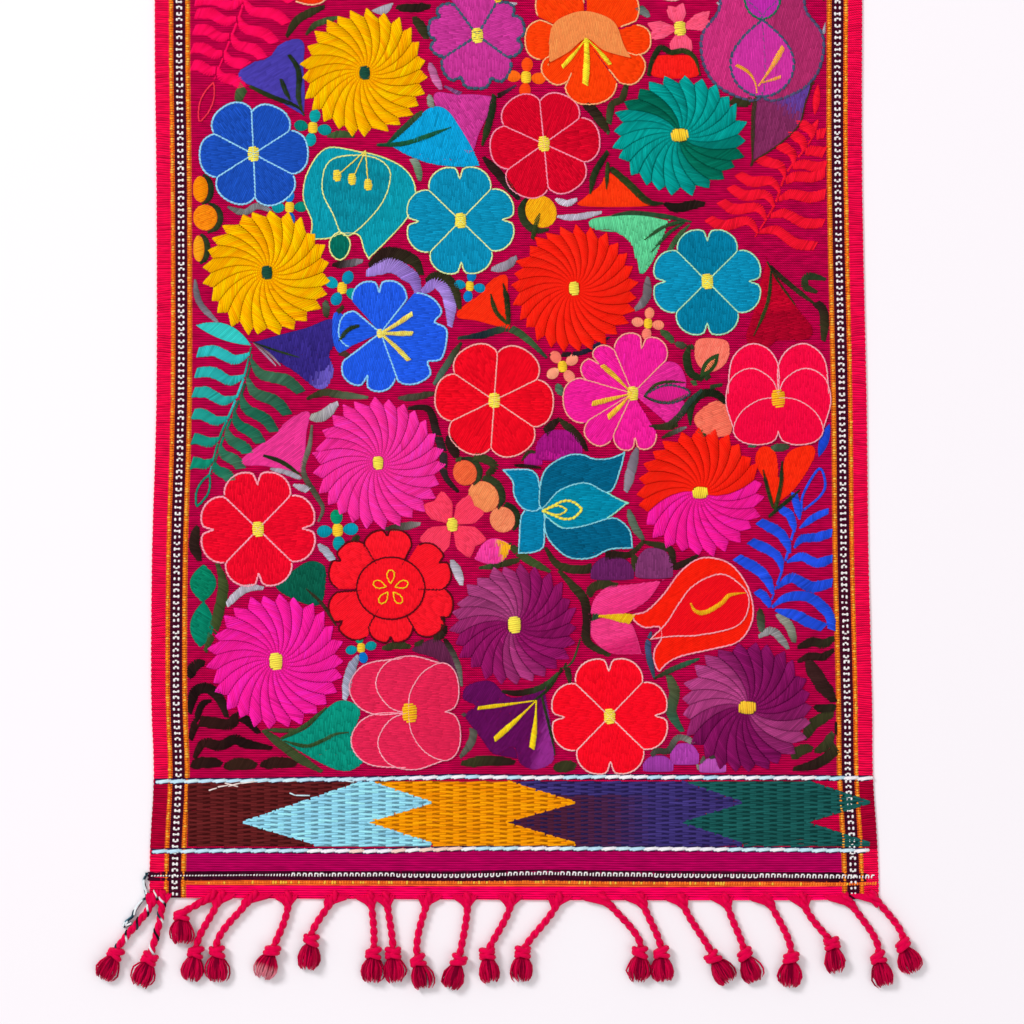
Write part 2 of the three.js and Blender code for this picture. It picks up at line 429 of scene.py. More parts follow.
def sew(name, threads, material):
    """Turns rows of laid threads into one piece. Each is two end points and two arched rings."""
    start, end = threads[:, 0:2], threads[:, 2:4]
    width, lift = threads[:, 4:5], threads[:, 5:6]
    run = end - start
    length = np.linalg.norm(run, axis=1, keepdims=True)
    along = run / length
    side = np.stack([-along[:, 1], along[:, 0]], 1) * width / 2
    shoulder = np.minimum(SHOULDER * width, length * 0.3)
    near, far = start + along * shoulder, end - along * shoulder
    flat = np.stack([start, near - side, near, near + side, far - side, far, far + side, end], 1)
    rise = np.array([0, 0.25, 1, 0.25, 0.25, 1, 0.25, 0]) * lift - SINK * np.array([1, 0, 0, 0, 0, 0, 0, 1])
    z = cloth_top(flat[..., 0], flat[..., 1]) + rise
    points = np.concatenate([flat, z[..., None]], 2).reshape(-1, 3)
    pattern = np.array([(0, 1, 2), (0, 2, 3), (1, 4, 5), (1, 5, 2), (2, 5, 6), (2, 6, 3), (4, 7, 5),
                        (5, 7, 6)])
    count = len(threads)
    faces = (np.arange(count)[:, None, None] * 8 + pattern).reshape(-1, 3)
    # Across and along each thread, in mm, starting at a different place on each.
    across = np.array([0.5, 0, 0.5, 1, 0, 0.5, 1, 0.5]) * width
    offset = np.random.default_rng(count).uniform(0, 90, (count, 1))
    lengthwise = np.array([0, 0, 0, 0, 1, 1, 1, 1]) * (length - 2 * shoulder)
    lengthwise = lengthwise + np.array([-1, 0, 0, 0, 0, 0, 0, 1]) * shoulder + offset
    strand = np.stack([across, lengthwise], 2).reshape(-1, 2)
    # In the colour map each thread keeps a small place of its own.
    cells = int(math.ceil(math.sqrt(count)))
    cell = np.arange(count)
    corner = np.stack([cell % cells, cell // cells], 1)[:, None, :]
    inner = np.stack([np.array([0.5, 0, 0.5, 1, 0, 0.5, 1, 0.5]),
                      np.array([0, 0.15, 0.15, 0.15, 0.85, 0.85, 0.85, 1])], 1)
    place = ((corner + 0.2 + 0.6 * inner) / cells).reshape(-1, 2)
    # The seams and the dipped ends of each thread hold less light than its crown.
    ring = [SEAM_SHADE, CROWN_SHADE, SEAM_SHADE]
    shade = np.array([ENDS_SHADE, *ring, *ring, ENDS_SHADE])
    colours = (threads[:, None, 6:9] * shade[None, :, None]).clip(0, 1).reshape(-1, 3)
    piece = mesh_piece(name, points, faces, material, (("strand", strand), ("OFBake", place)), colours)
    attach(piece, "root")


def border_lines(side):
    """The orange lines of one side border: each rib is a short float across the line."""
    rows = []
    for line, (inset, wide) in enumerate(ORANGE_LINES):
        y = np.arange(-HALF_LENGTH + 1, HALF_LENGTH - 1, ORANGE_STEP)
        draw = np.random.default_rng(11 + line + side)
        centre = cloth_x(side * (1 - inset / HALF_WIDTH_FLAT), y) + draw.uniform(-0.25, 0.25, y.size)
        reach = wide / 2 * draw.uniform(0.7, 1.1, y.size)
        slant = draw.normal(0, 0.08, y.size)
        colour = varied(linear("FF861E"), y.size, 0.13, 21 + line + side)
        paler = draw.random(y.size) < 0.3
        colour[paler] = linear("FFAE3C") * draw.uniform(0.9, 1.1, (paler.sum(), 1))
        rows.append(laid_threads(centre - reach, y - slant, centre + reach, y + slant, ORANGE_WIDTH,
                                 ORANGE_LIFT, colour))
    return np.concatenate(rows)


def border_marks(side):
    """The white ladder of one side border: pairs of short floats, some joined by a rung."""
    y = np.arange(-HALF_LENGTH + 2, HALF_LENGTH - 2, WHITE_STEP)
    draw = np.random.default_rng(31 + side)
    centre = cloth_x(side * (1 - WHITE_AT / HALF_WIDTH_FLAT), y)
    white = linear("F6F2EE")
    rows = []
    for hand in (-1, 1):
        at = centre + hand * WHITE_SIDES + draw.normal(0, 0.08, y.size)
        half = draw.uniform(0.9, 1.25, y.size)
        shift = draw.normal(0, 0.1, y.size)
        rows.append(laid_threads(at, y + shift - half, at + draw.normal(0, 0.12, y.size), y + shift + half,
                                 1.25, 0.75, varied(white, y.size, 0.05, 41 + hand + 3 * side)))
    rung = draw.random(y.size) < 0.8
    where = (y + WHITE_STEP * draw.choice((-0.22, 0.0, 0.24), y.size))[rung]
    middle = centre[rung]
    rows.append(laid_threads(middle - 0.95, where, middle + 0.95, where + draw.normal(0, 0.15, where.size),
                             0.9, 0.6, varied(white * 0.92, where.size, 0.06, 51 + side)))
    return np.concatenate(rows)


border_thread = thread_material("border_thread", 0.35, 0.3)
for side, hand in ((-1, "left"), (1, "right")):
    sew(f"border_lines_{hand}", border_lines(side), border_thread)
    sew(f"border_marks_{hand}", border_marks(side), border_thread)

# --------------------------------------
# The end bands. Across each end the weaver laid a wide zigzag of thick cotton floats between
# two twined cords, then a plain band, a row of white zigzag on black and a line of orange ribs.
BAND_FROM, BAND_TO = 29.6, 65.6
BAND_LEFT, BAND_RIGHT = -183, 203
FLOAT_ROW = 1.25
FLOAT_STEP = 7.6
FLOAT_SLOT = 1.6
FLOAT_WIDTH, FLOAT_LIFT = 1.55, 0.85
ZIGZAG_TIPS = (30.5, 42.4, 53.6, 66.0)
CHEVRONS = ((-82, 37), (-4, 40), (94, 36), (165, 37))
BAND_COLOURS = ("601F20", "92D8EE", "FC9806", "3C3272", "1A5854")
TWINE_WAY = (-205, -147, -74, -31, 18, 50, 100, 150, 205)
TWINE_AT = ((26.0, 26.6, 26.2, 27.6, 27.8, 27.6, 27.4, 27.0, 26.4),
            (65.4, 65.9, 66.9, 68.1, 67.5, 68.1, 67.7, 67.6, 67.2))
TWINE_STITCH = 7.9
TWINE_REACH = ((-202.5, 197), (-200.5, 195))
TWINE_COLOURS = ("C4E0EC", "EDE9F4", "B4D8EA", "E6E4F6", "F2C9BC", "DDEBF0")
WHITE_ROW_AT = (12.2, 12.7, 12.8, 12.5, 13.7, 13.0, 12.6, 12.3, 11.6)
WHITE_ROW_STEP = 1.65
DARK_STITCH = 7.5
ORANGE_ROW_AT = (7.6, 8.7, 8.8, 8.8, 9.2, 8.8, 8.6, 8.3, 8.0)


def chevron_edges(d):
    """Where the colours of the zigzag meet on the row at d mm from the end."""
    point_right = np.interp(d, ZIGZAG_TIPS, (1, 0, 1, 0))
    left_tip = np.interp(d, (30.5, 42.4, 65.5), (-112, -152, -84))
    return [left_tip, *[start + reach * point_right for start, reach in CHEVRONS]]


def band_floats():
    rows = []
    draw = np.random.default_rng(61)
    plum = linear("4A2038")
    for number, d in enumerate(np.arange(BAND_FROM, BAND_TO, FLOAT_ROW)):
        edges = [BAND_LEFT, *chevron_edges(d)]
        edges[-1] = min(edges[-1], BAND_RIGHT)
        for part, (start, stop) in enumerate(zip(edges[:-1], edges[1:])):
            if stop - start < 0.8:
                continue
            grid = np.arange(-210, 230, 2 * FLOAT_STEP) + FLOAT_STEP * (number % 2)
            inside = grid[(grid > start + 2.2) & (grid < stop - 2.2)]
            x0 = np.concatenate([[start], inside + FLOAT_SLOT])
            x1 = np.concatenate([inside - FLOAT_SLOT, [stop]])
            base = linear(BAND_COLOURS[part])
            colour = varied(base, x0.size, 0.1, int(draw.integers(9999)))
            if part == 3:
                reddish = np.interp(x0, (20, 50, 75), (1, 0.8, 0))[:, None] * (d < 58)
                colour = colour * (1 - reddish) + plum * reddish
            # The rows bow round the middle of each run, as they are pulled together at its ends.
            fan = 0.5 * np.sin((x0 + x1) / 2 * math.pi / FLOAT_STEP) * np.sin(d * 0.55)
            wobble = draw.normal(0, 0.1, x0.size)
            rows.append(laid_threads(x0, d - fan + wobble, x1, d + fan + wobble, FLOAT_WIDTH, FLOAT_LIFT,
                                     colour))
            # Where a float dips, the weft under it shows as a short slanting slot; it and the low row under
            # each run are painted darker as shade.
            rows.append(laid_threads(start, d, stop, d, 1.7, 0.3, base * 0.5))
            slant = np.where(np.round(inside / FLOAT_STEP) % 4 < 2, 0.42, -0.42)
            x0, x1 = inside - FLOAT_SLOT - 0.5, inside + FLOAT_SLOT + 0.5
            rows.append(laid_threads(x0, d - slant, x1, d + slant, 1.0, 0.42, base * 0.34))
    # A float laid along each slanting edge covers the steps where two colours meet.
    for part in range(len(CHEVRONS) + 1):
        tint = linear(BAND_COLOURS[max(part, 1)])
        for low, high in ((30.5, 42.4), (42.4, 53.6), (53.6, 65.6)):
            at = np.linspace(low, high, 8)
            x = np.minimum([chevron_edges(d)[part] for d in at], BAND_RIGHT)
            tints = varied(tint, at.size - 1, 0.08, 64 + part)
            rows.append(laid_threads(x[:-1], at[:-1], x[1:], at[1:], 1.5, 1.0, tints))
    return np.concatenate(rows)


def twined_cords():
    rows = []
    draw = np.random.default_rng(71)
    navy = linear("241A44")
    for line, way in enumerate(TWINE_AT):
        x = np.arange(*TWINE_REACH[line], TWINE_STITCH)
        d_here = np.interp(x, TWINE_WAY, way) + draw.normal(0, 0.12, x.size)
        d_next = np.interp(x + TWINE_STITCH, TWINE_WAY, way)
        pick = draw.integers(0, 4, x.size)
        if line == 0:
            middle = (x > -95) & (x < -30)
            pick[middle] = draw.choice((1, 3, 4, 4, 1), middle.sum())
            pick[x < -120] = draw.choice((0, 2, 2), (x < -120).sum())
        else:
            pick[x < -60] = draw.choice((2, 2, 0), (x < -60).sum())
        light = np.array([linear(TWINE_COLOURS[i]) for i in pick])
        for low in (-1.05, 1.1):
            dark = varied(navy, x.size, 0.2, 73 + line)
            stop = x + TWINE_STITCH - 1
            rows.append(laid_threads(x - 1, d_here + low, stop, d_next + low, 1.0, 0.6, dark))
        # Each twist shows as a soft lens: a broad thread between two narrower, shorter ones.
        for aside, short, thick in ((-0.55, 1.4, 1.3), (0.55, 1.4, 1.3), (0.0, -0.6, 2.0)):
            tints = light * draw.uniform(0.9 if short > 0 else 1.0, 1.08, (x.size, 1))
            rows.append(laid_threads(x + short, d_here - 0.45 + aside, x + TWINE_STITCH + 0.8 - short,
                                     d_next + 0.35 + aside, thick, 1.0 + 0.3 * (short < 0), tints))
    return np.concatenate(rows)


def zigzag_rows():
    """White loops between two dark lines, like small arches in a row, and a line of orange ribs."""
    draw = np.random.default_rng(81)
    white, dark = linear("FFFAF6"), linear("34081E")
    rows = []
    x = np.arange(-205, 200, DARK_STITCH)
    for low, wide in ((-2.0, 1.5), (1.75, 1.0), (0.0, 2.6)):
        way = [np.interp(at, TWINE_WAY, WHITE_ROW_AT) + low for at in (x - 0.5, x + DARK_STITCH)]
        tints = varied(dark, x.size, 0.15, 82)
        rows.append(laid_threads(x - 0.5, way[0], x + DARK_STITCH, way[1], wide, 0.4, tints))
    x = np.arange(-203.5, 204, WHITE_ROW_STEP)
    centre = np.interp(x, TWINE_WAY, WHITE_ROW_AT)
    tall = np.interp(x, (-205, -150, -115), (0.35, 0.6, 1.05)) * draw.uniform(0.85, 1.1, x.size)
    lean = np.interp(x, (-205, -150, -115), (1.4, 1.0, 0.25)) + draw.normal(0, 0.12, x.size)
    tints = varied(white, x.size, 0.05, 83)
    rows.append(laid_threads(x, centre - tall, x + lean, centre + tall, 0.85, 0.85, tints))
    # Every second gap is closed by a short arch, over the top or, in places, under it.
    arch = (np.arange(x.size) % 2 == 0) & (x > -125) & (draw.random(x.size) < 0.9)
    hand = np.where(np.sin(x / 23) > -0.3, 1, -1)[arch]
    start, level = (x + lean / 2)[arch], centre[arch] + hand * 0.95
    drop = hand * draw.uniform(0, 0.3, level.size)
    rows.append(laid_threads(start - 0.25, level, start + WHITE_ROW_STEP + 0.25, level - drop, 0.8, 0.9,
                             varied(white, level.size, 0.05, 84)))
    x = np.arange(-178, 205, ORANGE_STEP)
    centre = np.interp(x, TWINE_WAY, ORANGE_ROW_AT)
    reach = draw.uniform(0.9, 1.25, x.size)
    lean = draw.normal(0.15, 0.12, x.size)
    colour = varied(linear("FF7428"), x.size, 0.16, 85)
    colour[draw.random(x.size) < 0.2] = linear("FFB83C")
    rows.append(laid_threads(x - lean, centre - reach, x + lean, centre + reach, 1.2, 0.6, colour))
    return np.concatenate(rows)


def loose_ends():
    """Pale ends of yarn left lying on the brown corner of the zigzag."""
    pale, blue = linear("F4DCD4"), linear("C8E4EC")
    way = ((-171, 60.2, -166, 61.8, pale), (-166, 62.2, -159.5, 63.4, pale), (-160, 62.6, -152, 64.8, pale),
           (-162, 64.6, -154, 62.4, pale), (-153, 64.3, -143, 65.6, pale), (-125.5, 59, -121.5, 57.4, blue),
           (-122, 57.6, -113.5, 57.4, blue), (-142, 66, -135.5, 66.4, blue), (-94, 65.8, -88.5, 65, blue))
    return np.array([(x0, d0, x1, d1, 0.95, 1.5, *tint) for x0, d0, x1, d1, tint in way])


def at_end(rows, end):
    """Moves rows laid out as (x, distance from the end edge) to the near (-1) or far (1) end."""
    moved = rows.copy()
    for column in (0, 2):
        x, d = rows[:, column], rows[:, column + 1]
        edge = HALF_LENGTH * np.ones_like(x)
        bow = np.interp(x, END_BOW_AT, END_BOW) * np.clip(1 - d / 14, 0, 1)
        moved[:, column] = -end * x
        moved[:, column + 1] = end * (edge + bow - d)
    return moved


band_weft = thread_material("band_weft", 0.5, 0.35)
for end, side in ((-1, "near"), (1, "far")):
    sew(f"zigzag_band_{side}", at_end(band_floats(), end), band_weft)
    sew(f"twined_cords_{side}", at_end(twined_cords(), end), band_weft)
    end_rows = np.concatenate([zigzag_rows(), loose_ends()]) if end < 0 else zigzag_rows()
    sew(f"end_rows_{side}", at_end(end_rows, end), border_thread)

# --------------------------------------
# The embroidery thread. Soft cotton laid in satin rows that follow each petal or leaf, raised
# about a millimetre, with split ends stepped like bricks where a row is too long for one stitch.
# Later motifs stop where earlier ones already lie, as the embroiderer worked round them.
ROW_PITCH = 0.92
ROW_OVERLAP = 1.3
LONGEST_STITCH = 7.5
SHORTEST_STITCH = 0.7
STITCH_OVERLAP = 0.35
SATIN_LIFT = 0.62
LINE_LIFT = 0.95
BED_SHADE = 0.8
BED_LIFT = 0.36
BED_STEP = 0.0005
NARROWEST_BED = 4
EYE_YELLOW = "FFE050"
TAKEN_CELL = 0.5
TAKEN_HALF_WIDTH = 210
FIELD_FROM = 69.5
FIELD_INSET = 20.4

taken = np.zeros((int(2 * TAKEN_HALF_WIDTH / TAKEN_CELL), int(HALF_LENGTH / TAKEN_CELL) + 2), np.int32)
cell_x = (np.arange(taken.shape[0]) + 0.5) * TAKEN_CELL - TAKEN_HALF_WIDTH
cell_d = (np.arange(taken.shape[1]) + 0.5) * TAKEN_CELL
field_left, field_right = (cloth_x(hand, cell_d - HALF_LENGTH) - hand * FIELD_INSET for hand in (-1, 1))
outside = (cell_x[:, None] < field_left[None, :]) | (cell_x[:, None] > field_right[None, :])
outside |= ((cell_d < FIELD_FROM) | (cell_d > HALF_LENGTH - 1))[None, :]
KINDS = ("pinwheel_blooms", "petalled_blooms", "leaves_and_stems")
state = {"motif": 0, "kind": KINDS[0], "seed": 100}
laid = {kind: [] for kind in KINDS}
beds = []


def cell_of(x, d):
    i = ((x + TAKEN_HALF_WIDTH) / TAKEN_CELL).astype(int).clip(0, taken.shape[0] - 1)
    j = (d / TAKEN_CELL).astype(int).clip(0, taken.shape[1] - 1)
    return i, j


def free(x, d):
    """Whether the cloth at each place holds no other motif yet."""
    held = taken[cell_of(x, d)]
    return ((held == 0) | (held == state["motif"])) & ~outside[cell_of(x, d)]


def new_motif(kind="leaves_and_stems"):
    state["motif"] += 1
    state["kind"] = kind


def next_seed():
    state["seed"] += 1
    return state["seed"]


def crossings(outline, level):
    """Where a closed outline crosses a line of constant second coordinate, in order."""
    a, b = outline, np.roll(outline, -1, axis=0)
    spans = (a[:, 1] > level) != (b[:, 1] > level)
    a, b = a[spans], b[spans]
    return np.sort(a[:, 0] + (level - a[:, 1]) / (b[:, 1] - a[:, 1]) * (b[:, 0] - a[:, 0]))


def occupy(outline, margin=0.0):
    """Marks what lies inside a closed outline as taken by the motif being worked."""
    low, high = outline.min(0) - margin, outline.max(0) + margin
    (i0, i1), (j0, j1) = cell_of(np.array([low[0], high[0]]), np.array([low[1], high[1]]))
    for j in range(j0, j1 + 1):
        cuts = crossings(outline, cell_d[j])
        for start, stop in zip(cuts[::2], cuts[1::2]):
            part = (cell_x[i0:i1 + 1] > start - margin) & (cell_x[i0:i1 + 1] < stop + margin)
            column = taken[i0:i1 + 1, j]
            column[part & (column == 0)] = state["motif"]


def turned(points, degrees):
    angle = math.radians(degrees)
    matrix = np.array([[math.cos(angle), math.sin(angle)], [-math.sin(angle), math.cos(angle)]])
    return np.asarray(points, float) @ matrix


def place(points, x, d, degrees, scale=1.0):
    """A motif's own shape, turned anticlockwise, sized and set on the cloth."""
    return turned(points, degrees) * scale + (x, d)


def smooth(points, closed=True, steps=6):
    """A soft curve through a few points; a point given twice running stays a sharp corner."""
    points = np.asarray(points, float)
    count = len(points)
    curve = []
    for k in range(count if closed else count - 1):
        if closed:
            p0, p1, p2, p3 = (points[(k + i) % count] for i in (-1, 0, 1, 2))
        else:
            p0, p1, p2, p3 = (points[min(max(k + i, 0), count - 1)] for i in (-1, 0, 1, 2))
        t = np.linspace(0, 1, steps, endpoint=False)[:, None]
        curve.append(0.5 * (2 * p1 + (p2 - p0) * t + (2 * p0 - 5 * p1 + 4 * p2 - p3) * t ** 2
                            + (3 * p1 - p0 - 3 * p2 + p3) * t ** 3))
    if not closed:
        curve.append(points[-1:])
    return np.concatenate(curve)


def lay_bed(outline, colour, level=0.0):
    """Slack padding under the satin, darker as painted shade in the gaps, so that no cloth shows between
    stitches.
    """
    left, right = (np.interp(outline[:, 1], cell_d, edge) for edge in (field_left, field_right))
    x, d = outline[:, 0].clip(left, right), outline[:, 1].clip(FIELD_FROM, HALF_LENGTH - 1)
    inside = np.column_stack([x, d])
    corners = tessellate_polygon([[Vector((x, d, 0)) for x, d in inside]])
    tint = (linear(colour) if isinstance(colour, str) else colour) * BED_SHADE
    beds.append((inside, np.array(corners, int).reshape(-1, 3), tint, level - BED_STEP * state["motif"]))


def lay(start, stop, width, lift, tints, keep=slice(None)):
    """Adds threads to the piece for the kind of motif being worked."""
    laid[state["kind"]].append(laid_threads(*start.T, *stop.T, width, lift, tints)[keep])


def cut_to_length(start, stop, longest, draw):
    """Where the stitches of one row begin and end; long rows are split, stepped like bricks."""
    parts = max(1, int(round((stop - start) / longest)))
    if parts == 1:
        return [start, stop]
    return [start, *(start + (np.arange(parts) + draw.uniform(0.15, 0.85)) * (stop - start) / parts), stop]


def satin(outline, heading, colour, pitch=ROW_PITCH, longest=LONGEST_STITCH, lift=SATIN_LIFT,
          spread=0.07, level=0.0, over=False, bands=None, bed=True):
    """Fills an outline with rows of stitches that run along the heading, in degrees."""
    own = turned(outline, -heading)
    draw = np.random.default_rng(next_seed())
    starts, stops = [], []
    low, high = own[:, 1].min(), own[:, 1].max()
    count = max(1, int(round((high - low) / pitch)))
    for v in low + (np.arange(count) + 0.5) * (high - low) / count:
        cuts = crossings(own, v)
        for start, stop in zip(cuts[::2], cuts[1::2]):
            if stop - start < SHORTEST_STITCH:
                continue
            u = np.arange(start, stop, TAKEN_CELL)
            at = turned(np.column_stack([u, np.full(u.size, v)]), heading)
            clear = free(at[:, 0], at[:, 1]) | over
            edges = np.flatnonzero(np.diff(np.concatenate([[0], clear.astype(int), [0]])))
            for first, last in zip(edges[::2], edges[1::2]):
                u0, u1 = u[first], stop if last == u.size else u[last - 1]
                if u1 - u0 < SHORTEST_STITCH:
                    continue
                ends = cut_to_length(u0, u1, longest, draw)
                starts.extend((p - STITCH_OVERLAP * (n > 0), v) for n, p in enumerate(ends[:-1]))
                stops.extend((p + STITCH_OVERLAP * (n < len(ends) - 2), v) for n, p in enumerate(ends[1:]))
    occupy(outline)
    if not starts:
        return
    if bed and high - low > NARROWEST_BED:
        lay_bed(outline, bands(outline.mean(0)[None], linear(colour)[None])[0] if bands else colour, level)
    starts, stops = turned(starts, heading), turned(stops, heading)
    jitter = draw.normal(0, 0.08, (len(starts), 4))
    base = np.broadcast_to(linear(colour) if isinstance(colour, str) else colour, (len(starts), 3))
    if bands is not None:
        base = bands((starts + stops) / 2, base)
    tints = varied(base, len(starts), spread, next_seed())
    rise = lift * draw.uniform(0.85, 1.15, len(starts)) + level
    lay(starts + jitter[:, :2], stops + jitter[:, 2:], pitch * ROW_OVERLAP, rise, tints)


def run_of(path):
    """How far along a path each of its points lies."""
    return np.concatenate([[0], np.cumsum(np.linalg.norm(np.diff(path, axis=0), axis=1))])


def places_on(path, run, at):
    return np.column_stack([np.interp(at, run, path[:, 0]), np.interp(at, run, path[:, 1])])


def stitched_line(points, colour, width, stitch, lift=LINE_LIFT, closed=False, over=False):
    """A line of stem stitch: short stitches end to end, each a little aslant of the line."""
    points = np.asarray(points, float)
    if closed:
        points = np.concatenate([points, points[:1]])
    run = run_of(points)
    count = max(1, int(round(run[-1] / stitch)))
    line = places_on(points, run, np.linspace(0, run[-1], count + 1))
    draw = np.random.default_rng(next_seed())
    start, stop = line[:-1], line[1:]
    along = (stop - start) / np.linalg.norm(stop - start, axis=1, keepdims=True)
    side = np.stack([-along[:, 1], along[:, 0]], 1) * 0.18 * width
    start = start - along * 0.45 - side + draw.normal(0, 0.06, start.shape)
    stop = stop + along * 0.45 + side + draw.normal(0, 0.06, start.shape)
    middle = (start + stop) / 2
    keep = free(middle[:, 0], middle[:, 1]) | over
    lay(start, stop, width * 1.1, lift, varied(linear(colour), count, 0.07, next_seed()), keep)


def boss(x, d, size, colour=EYE_YELLOW, rows=9, lift=1.25, turn=0.0):
    """A raised eye: a knot of thick satin stitches side by side over a bed with soft corners."""
    angle = np.linspace(0, 2 * math.pi, 24, endpoint=False)
    soft = (np.cos(angle) ** 4 + np.sin(angle) ** 4) ** -0.25 * size
    oval = np.column_stack([np.cos(angle) * 0.42, np.sin(angle) * 0.48]) * soft[:, None]
    satin(place(oval, x, d, turn), turn + 8, colour, pitch=1.08 * size / rows, longest=30, lift=lift,
          spread=0.04, over=True)

# --------------------------------------
# Pinwheel blooms. Each is a ring of narrow blades that swing round as they leave a raised eye;
# slanted satin crosses every blade, so it looks like a twisted cord and ends in a pointed tooth.
BLADE_SWING = 0.66
BLADE_NOTCH = 0.865
TOOTH = 0.24
BLADE_PITCH = 1.2
BLADE_GLOW = 1.15


def pinwheel(x, d, radius, colour, eye_colour=EYE_YELLOW, eye=9.5, blades=25, dye=None, tall=1.0,
             eye_turn=0.0):
    """A ring of blades round an eye; tall is its height for its width, dye recolours some blades."""
    new_motif("pinwheel_blooms")
    inner, notch = eye * 0.3, radius * BLADE_NOTCH
    draw = np.random.default_rng(next_seed())
    step = 2 * math.pi / blades
    reach = draw.uniform(0.97, 1.04, blades)
    lean = draw.normal(0, 0.14, blades)
    first = draw.uniform(0, step)

    def blade_edge(blade, hand, s):
        """A place on one side of a blade: s runs 0 to 1 up to the notch, then on to the tip."""
        s_in = np.minimum(s, 1)
        r = inner + (notch - inner) * s_in
        a = first + (blade + hand) * step + BLADE_SWING * s_in ** 0.7
        middle_a = a + (0.5 - hand) * step
        at = np.stack([r * np.cos(a), r * np.sin(a)], -1)
        middle = np.stack([r * np.cos(middle_a), r * np.sin(middle_a)], -1)
        tip_a = first + (blade + 0.5 + lean[blade]) * step + BLADE_SWING * 1.1
        tip_r = radius * reach[blade]
        tip = np.stack([tip_r * np.cos(tip_a), tip_r * np.sin(tip_a)], -1)
        t = (np.clip((s - 1) / TOOTH, 0, 1))[..., None]
        return (at + (tip - middle) * t + (middle - at) * t ** 1.4) * (1, tall) + (x, d)

    s = np.arange(0.03, 1 + TOOTH * 0.93, BLADE_PITCH / (notch - inner))
    blade, s = [v.ravel() for v in np.meshgrid(np.arange(blades), s, indexing="ij")]
    width = step * (inner + (notch - inner) * np.minimum(s, 1))
    slant = 0.75 * width / (notch - inner)
    slant = slant * np.where(s > 1, 0.5, 1)
    start = blade_edge(blade, 0, s)
    stop = blade_edge(blade, 1, np.minimum(s + slant, 1 + TOOTH))
    base = np.broadcast_to(linear(colour), (s.size, 3))
    middle = (start + stop) / 2
    if dye is not None:
        tips = first + BLADE_SWING + np.arange(blades) * step
        base = dye(np.column_stack([np.cos(tips), np.sin(tips)]), base[:blades])[blade]
    by_blade = 1 + 0.06 * draw.normal(0, 1, (blades, 1))
    tints = base * by_blade[blade] * (BLADE_GLOW + 0.14 * draw.normal(0, 1, (s.size, 1)))
    crown = 0.55 + 0.45 * np.clip(width / 6, 0, 1)
    keep = free(middle[:, 0], middle[:, 1]) & (np.hypot(*(stop - start).T) > 0.5)
    lay(start, stop, BLADE_PITCH * 0.98, crown * draw.uniform(0.85, 1.1, s.size), tints.clip(0, 1), keep)
    # Each blade's padding, darker as painted shade, shows in the gaps between blades.
    for number in range(blades):
        s = np.array([0, 0.25, 0.5, 0.75, 1, 1 + 0.45 * TOOTH])
        sides = [blade_edge(np.full(6, number), hand, s) for hand in (-0.04, 1.04)]
        outline = np.concatenate([sides[0], sides[1][::-1]])
        lay_bed(outline, base[blade == number][0])
    boss(x, d, eye, eye_colour, turn=eye_turn)
    rim = np.arange(2 * blades)
    a = first + BLADE_SWING * 1.05 + rim * step / 2
    r = np.where(rim % 2, radius, notch)
    occupy(np.stack([x + r * np.cos(a), d + r * np.sin(a) * tall], 1), 0.6)


# --------------------------------------
# Petalled blooms. Broad satin petals meet at a raised eye; a fine light line of stem stitch runs
# round each petal. Hearts are notched at the tip, pansies have petals of different sizes.
def round_petal(across):
    return 1 - 0.2 * np.abs(across) ** 3


def heart_petal(across):
    rim = 1 - 0.22 * np.abs(across) ** 4 - 0.06 * np.exp(-(across / 0.25) ** 2)
    return rim - 0.2 * np.exp(-(across / 0.055) ** 2)


def cleft_petal(across):
    """Two wide lobes with a small cut between."""
    return (1 - 0.2 * np.abs(across) ** 4) * (1 - 0.13 * np.exp(-(across / 0.07) ** 2))


def lobed_petal(across):
    """Three rounded lobes along the rim."""
    return (1 - 0.22 * np.abs(across) ** 4) * (1 - 0.18 * np.exp(-((np.abs(across) - 0.36) / 0.08) ** 2))


def toothed_petal(across):
    """Two points with a shallow dip between, and deep cuts to the next petals."""
    return np.interp(np.abs(across), (0, 0.5, 1), (0.84, 1, 0.58))


def petal_outline(shape, reach, half_angle, count=37):
    across = np.linspace(-1, 1, count)
    r = reach * shape(across)
    a = across * math.radians(half_angle)
    rim = np.column_stack([r * np.cos(a), r * np.sin(a)])
    return np.concatenate([[[0.1, 0]], rim])


def blossom(x, d, petals, colour, line=None, eye=8.5, line_width=0.9, spokes=1.0):
    """Petals given by heading, reach, half angle and shape, then a fine line round each of them."""
    new_motif("petalled_blooms")
    for number, (heading, reach, half, shape) in enumerate(petals):
        dyed = colour if isinstance(colour, str) else colour[number]
        satin(place(petal_outline(shape, reach, half), x, d, heading), heading + 4, dyed, spread=0.09)
    for heading, reach, half, shape in petals if line else ():
        edge = petal_outline(shape, reach * 1.01, half, 61)
        edge[0] = edge[1] * (1 - spokes) + edge[0] * spokes
        stitched_line(place(edge[:-1], x, d, heading), line, line_width, 2.2 * max(1, line_width / 1.2))
    if eye:
        boss(x, d, eye)


def petalled(x, d, reaches, colour, line, shape=round_petal, turn=0.0, **looks):
    """A bloom whose petals are all alike but for their reach."""
    step = 360 / len(reaches)
    petals = [(turn + k * step, reach, step / 2, shape) for k, reach in enumerate(reaches)]
    blossom(x, d, petals, colour, line, **looks)


def stamens(x, d, ends, colour, width, root=0.4):
    """Thick raised bars of satin from one place, each widening to its end."""
    for end_x, end_d in ends:
        middle = ((x + end_x) / 2 + 0.6, (d + end_d) / 2)
        taper = (root, root + 0.1, 1, 0.9)
        stem([(x, d), middle, (end_x, end_d)], width, colour, taper, over=True, level=0.8)


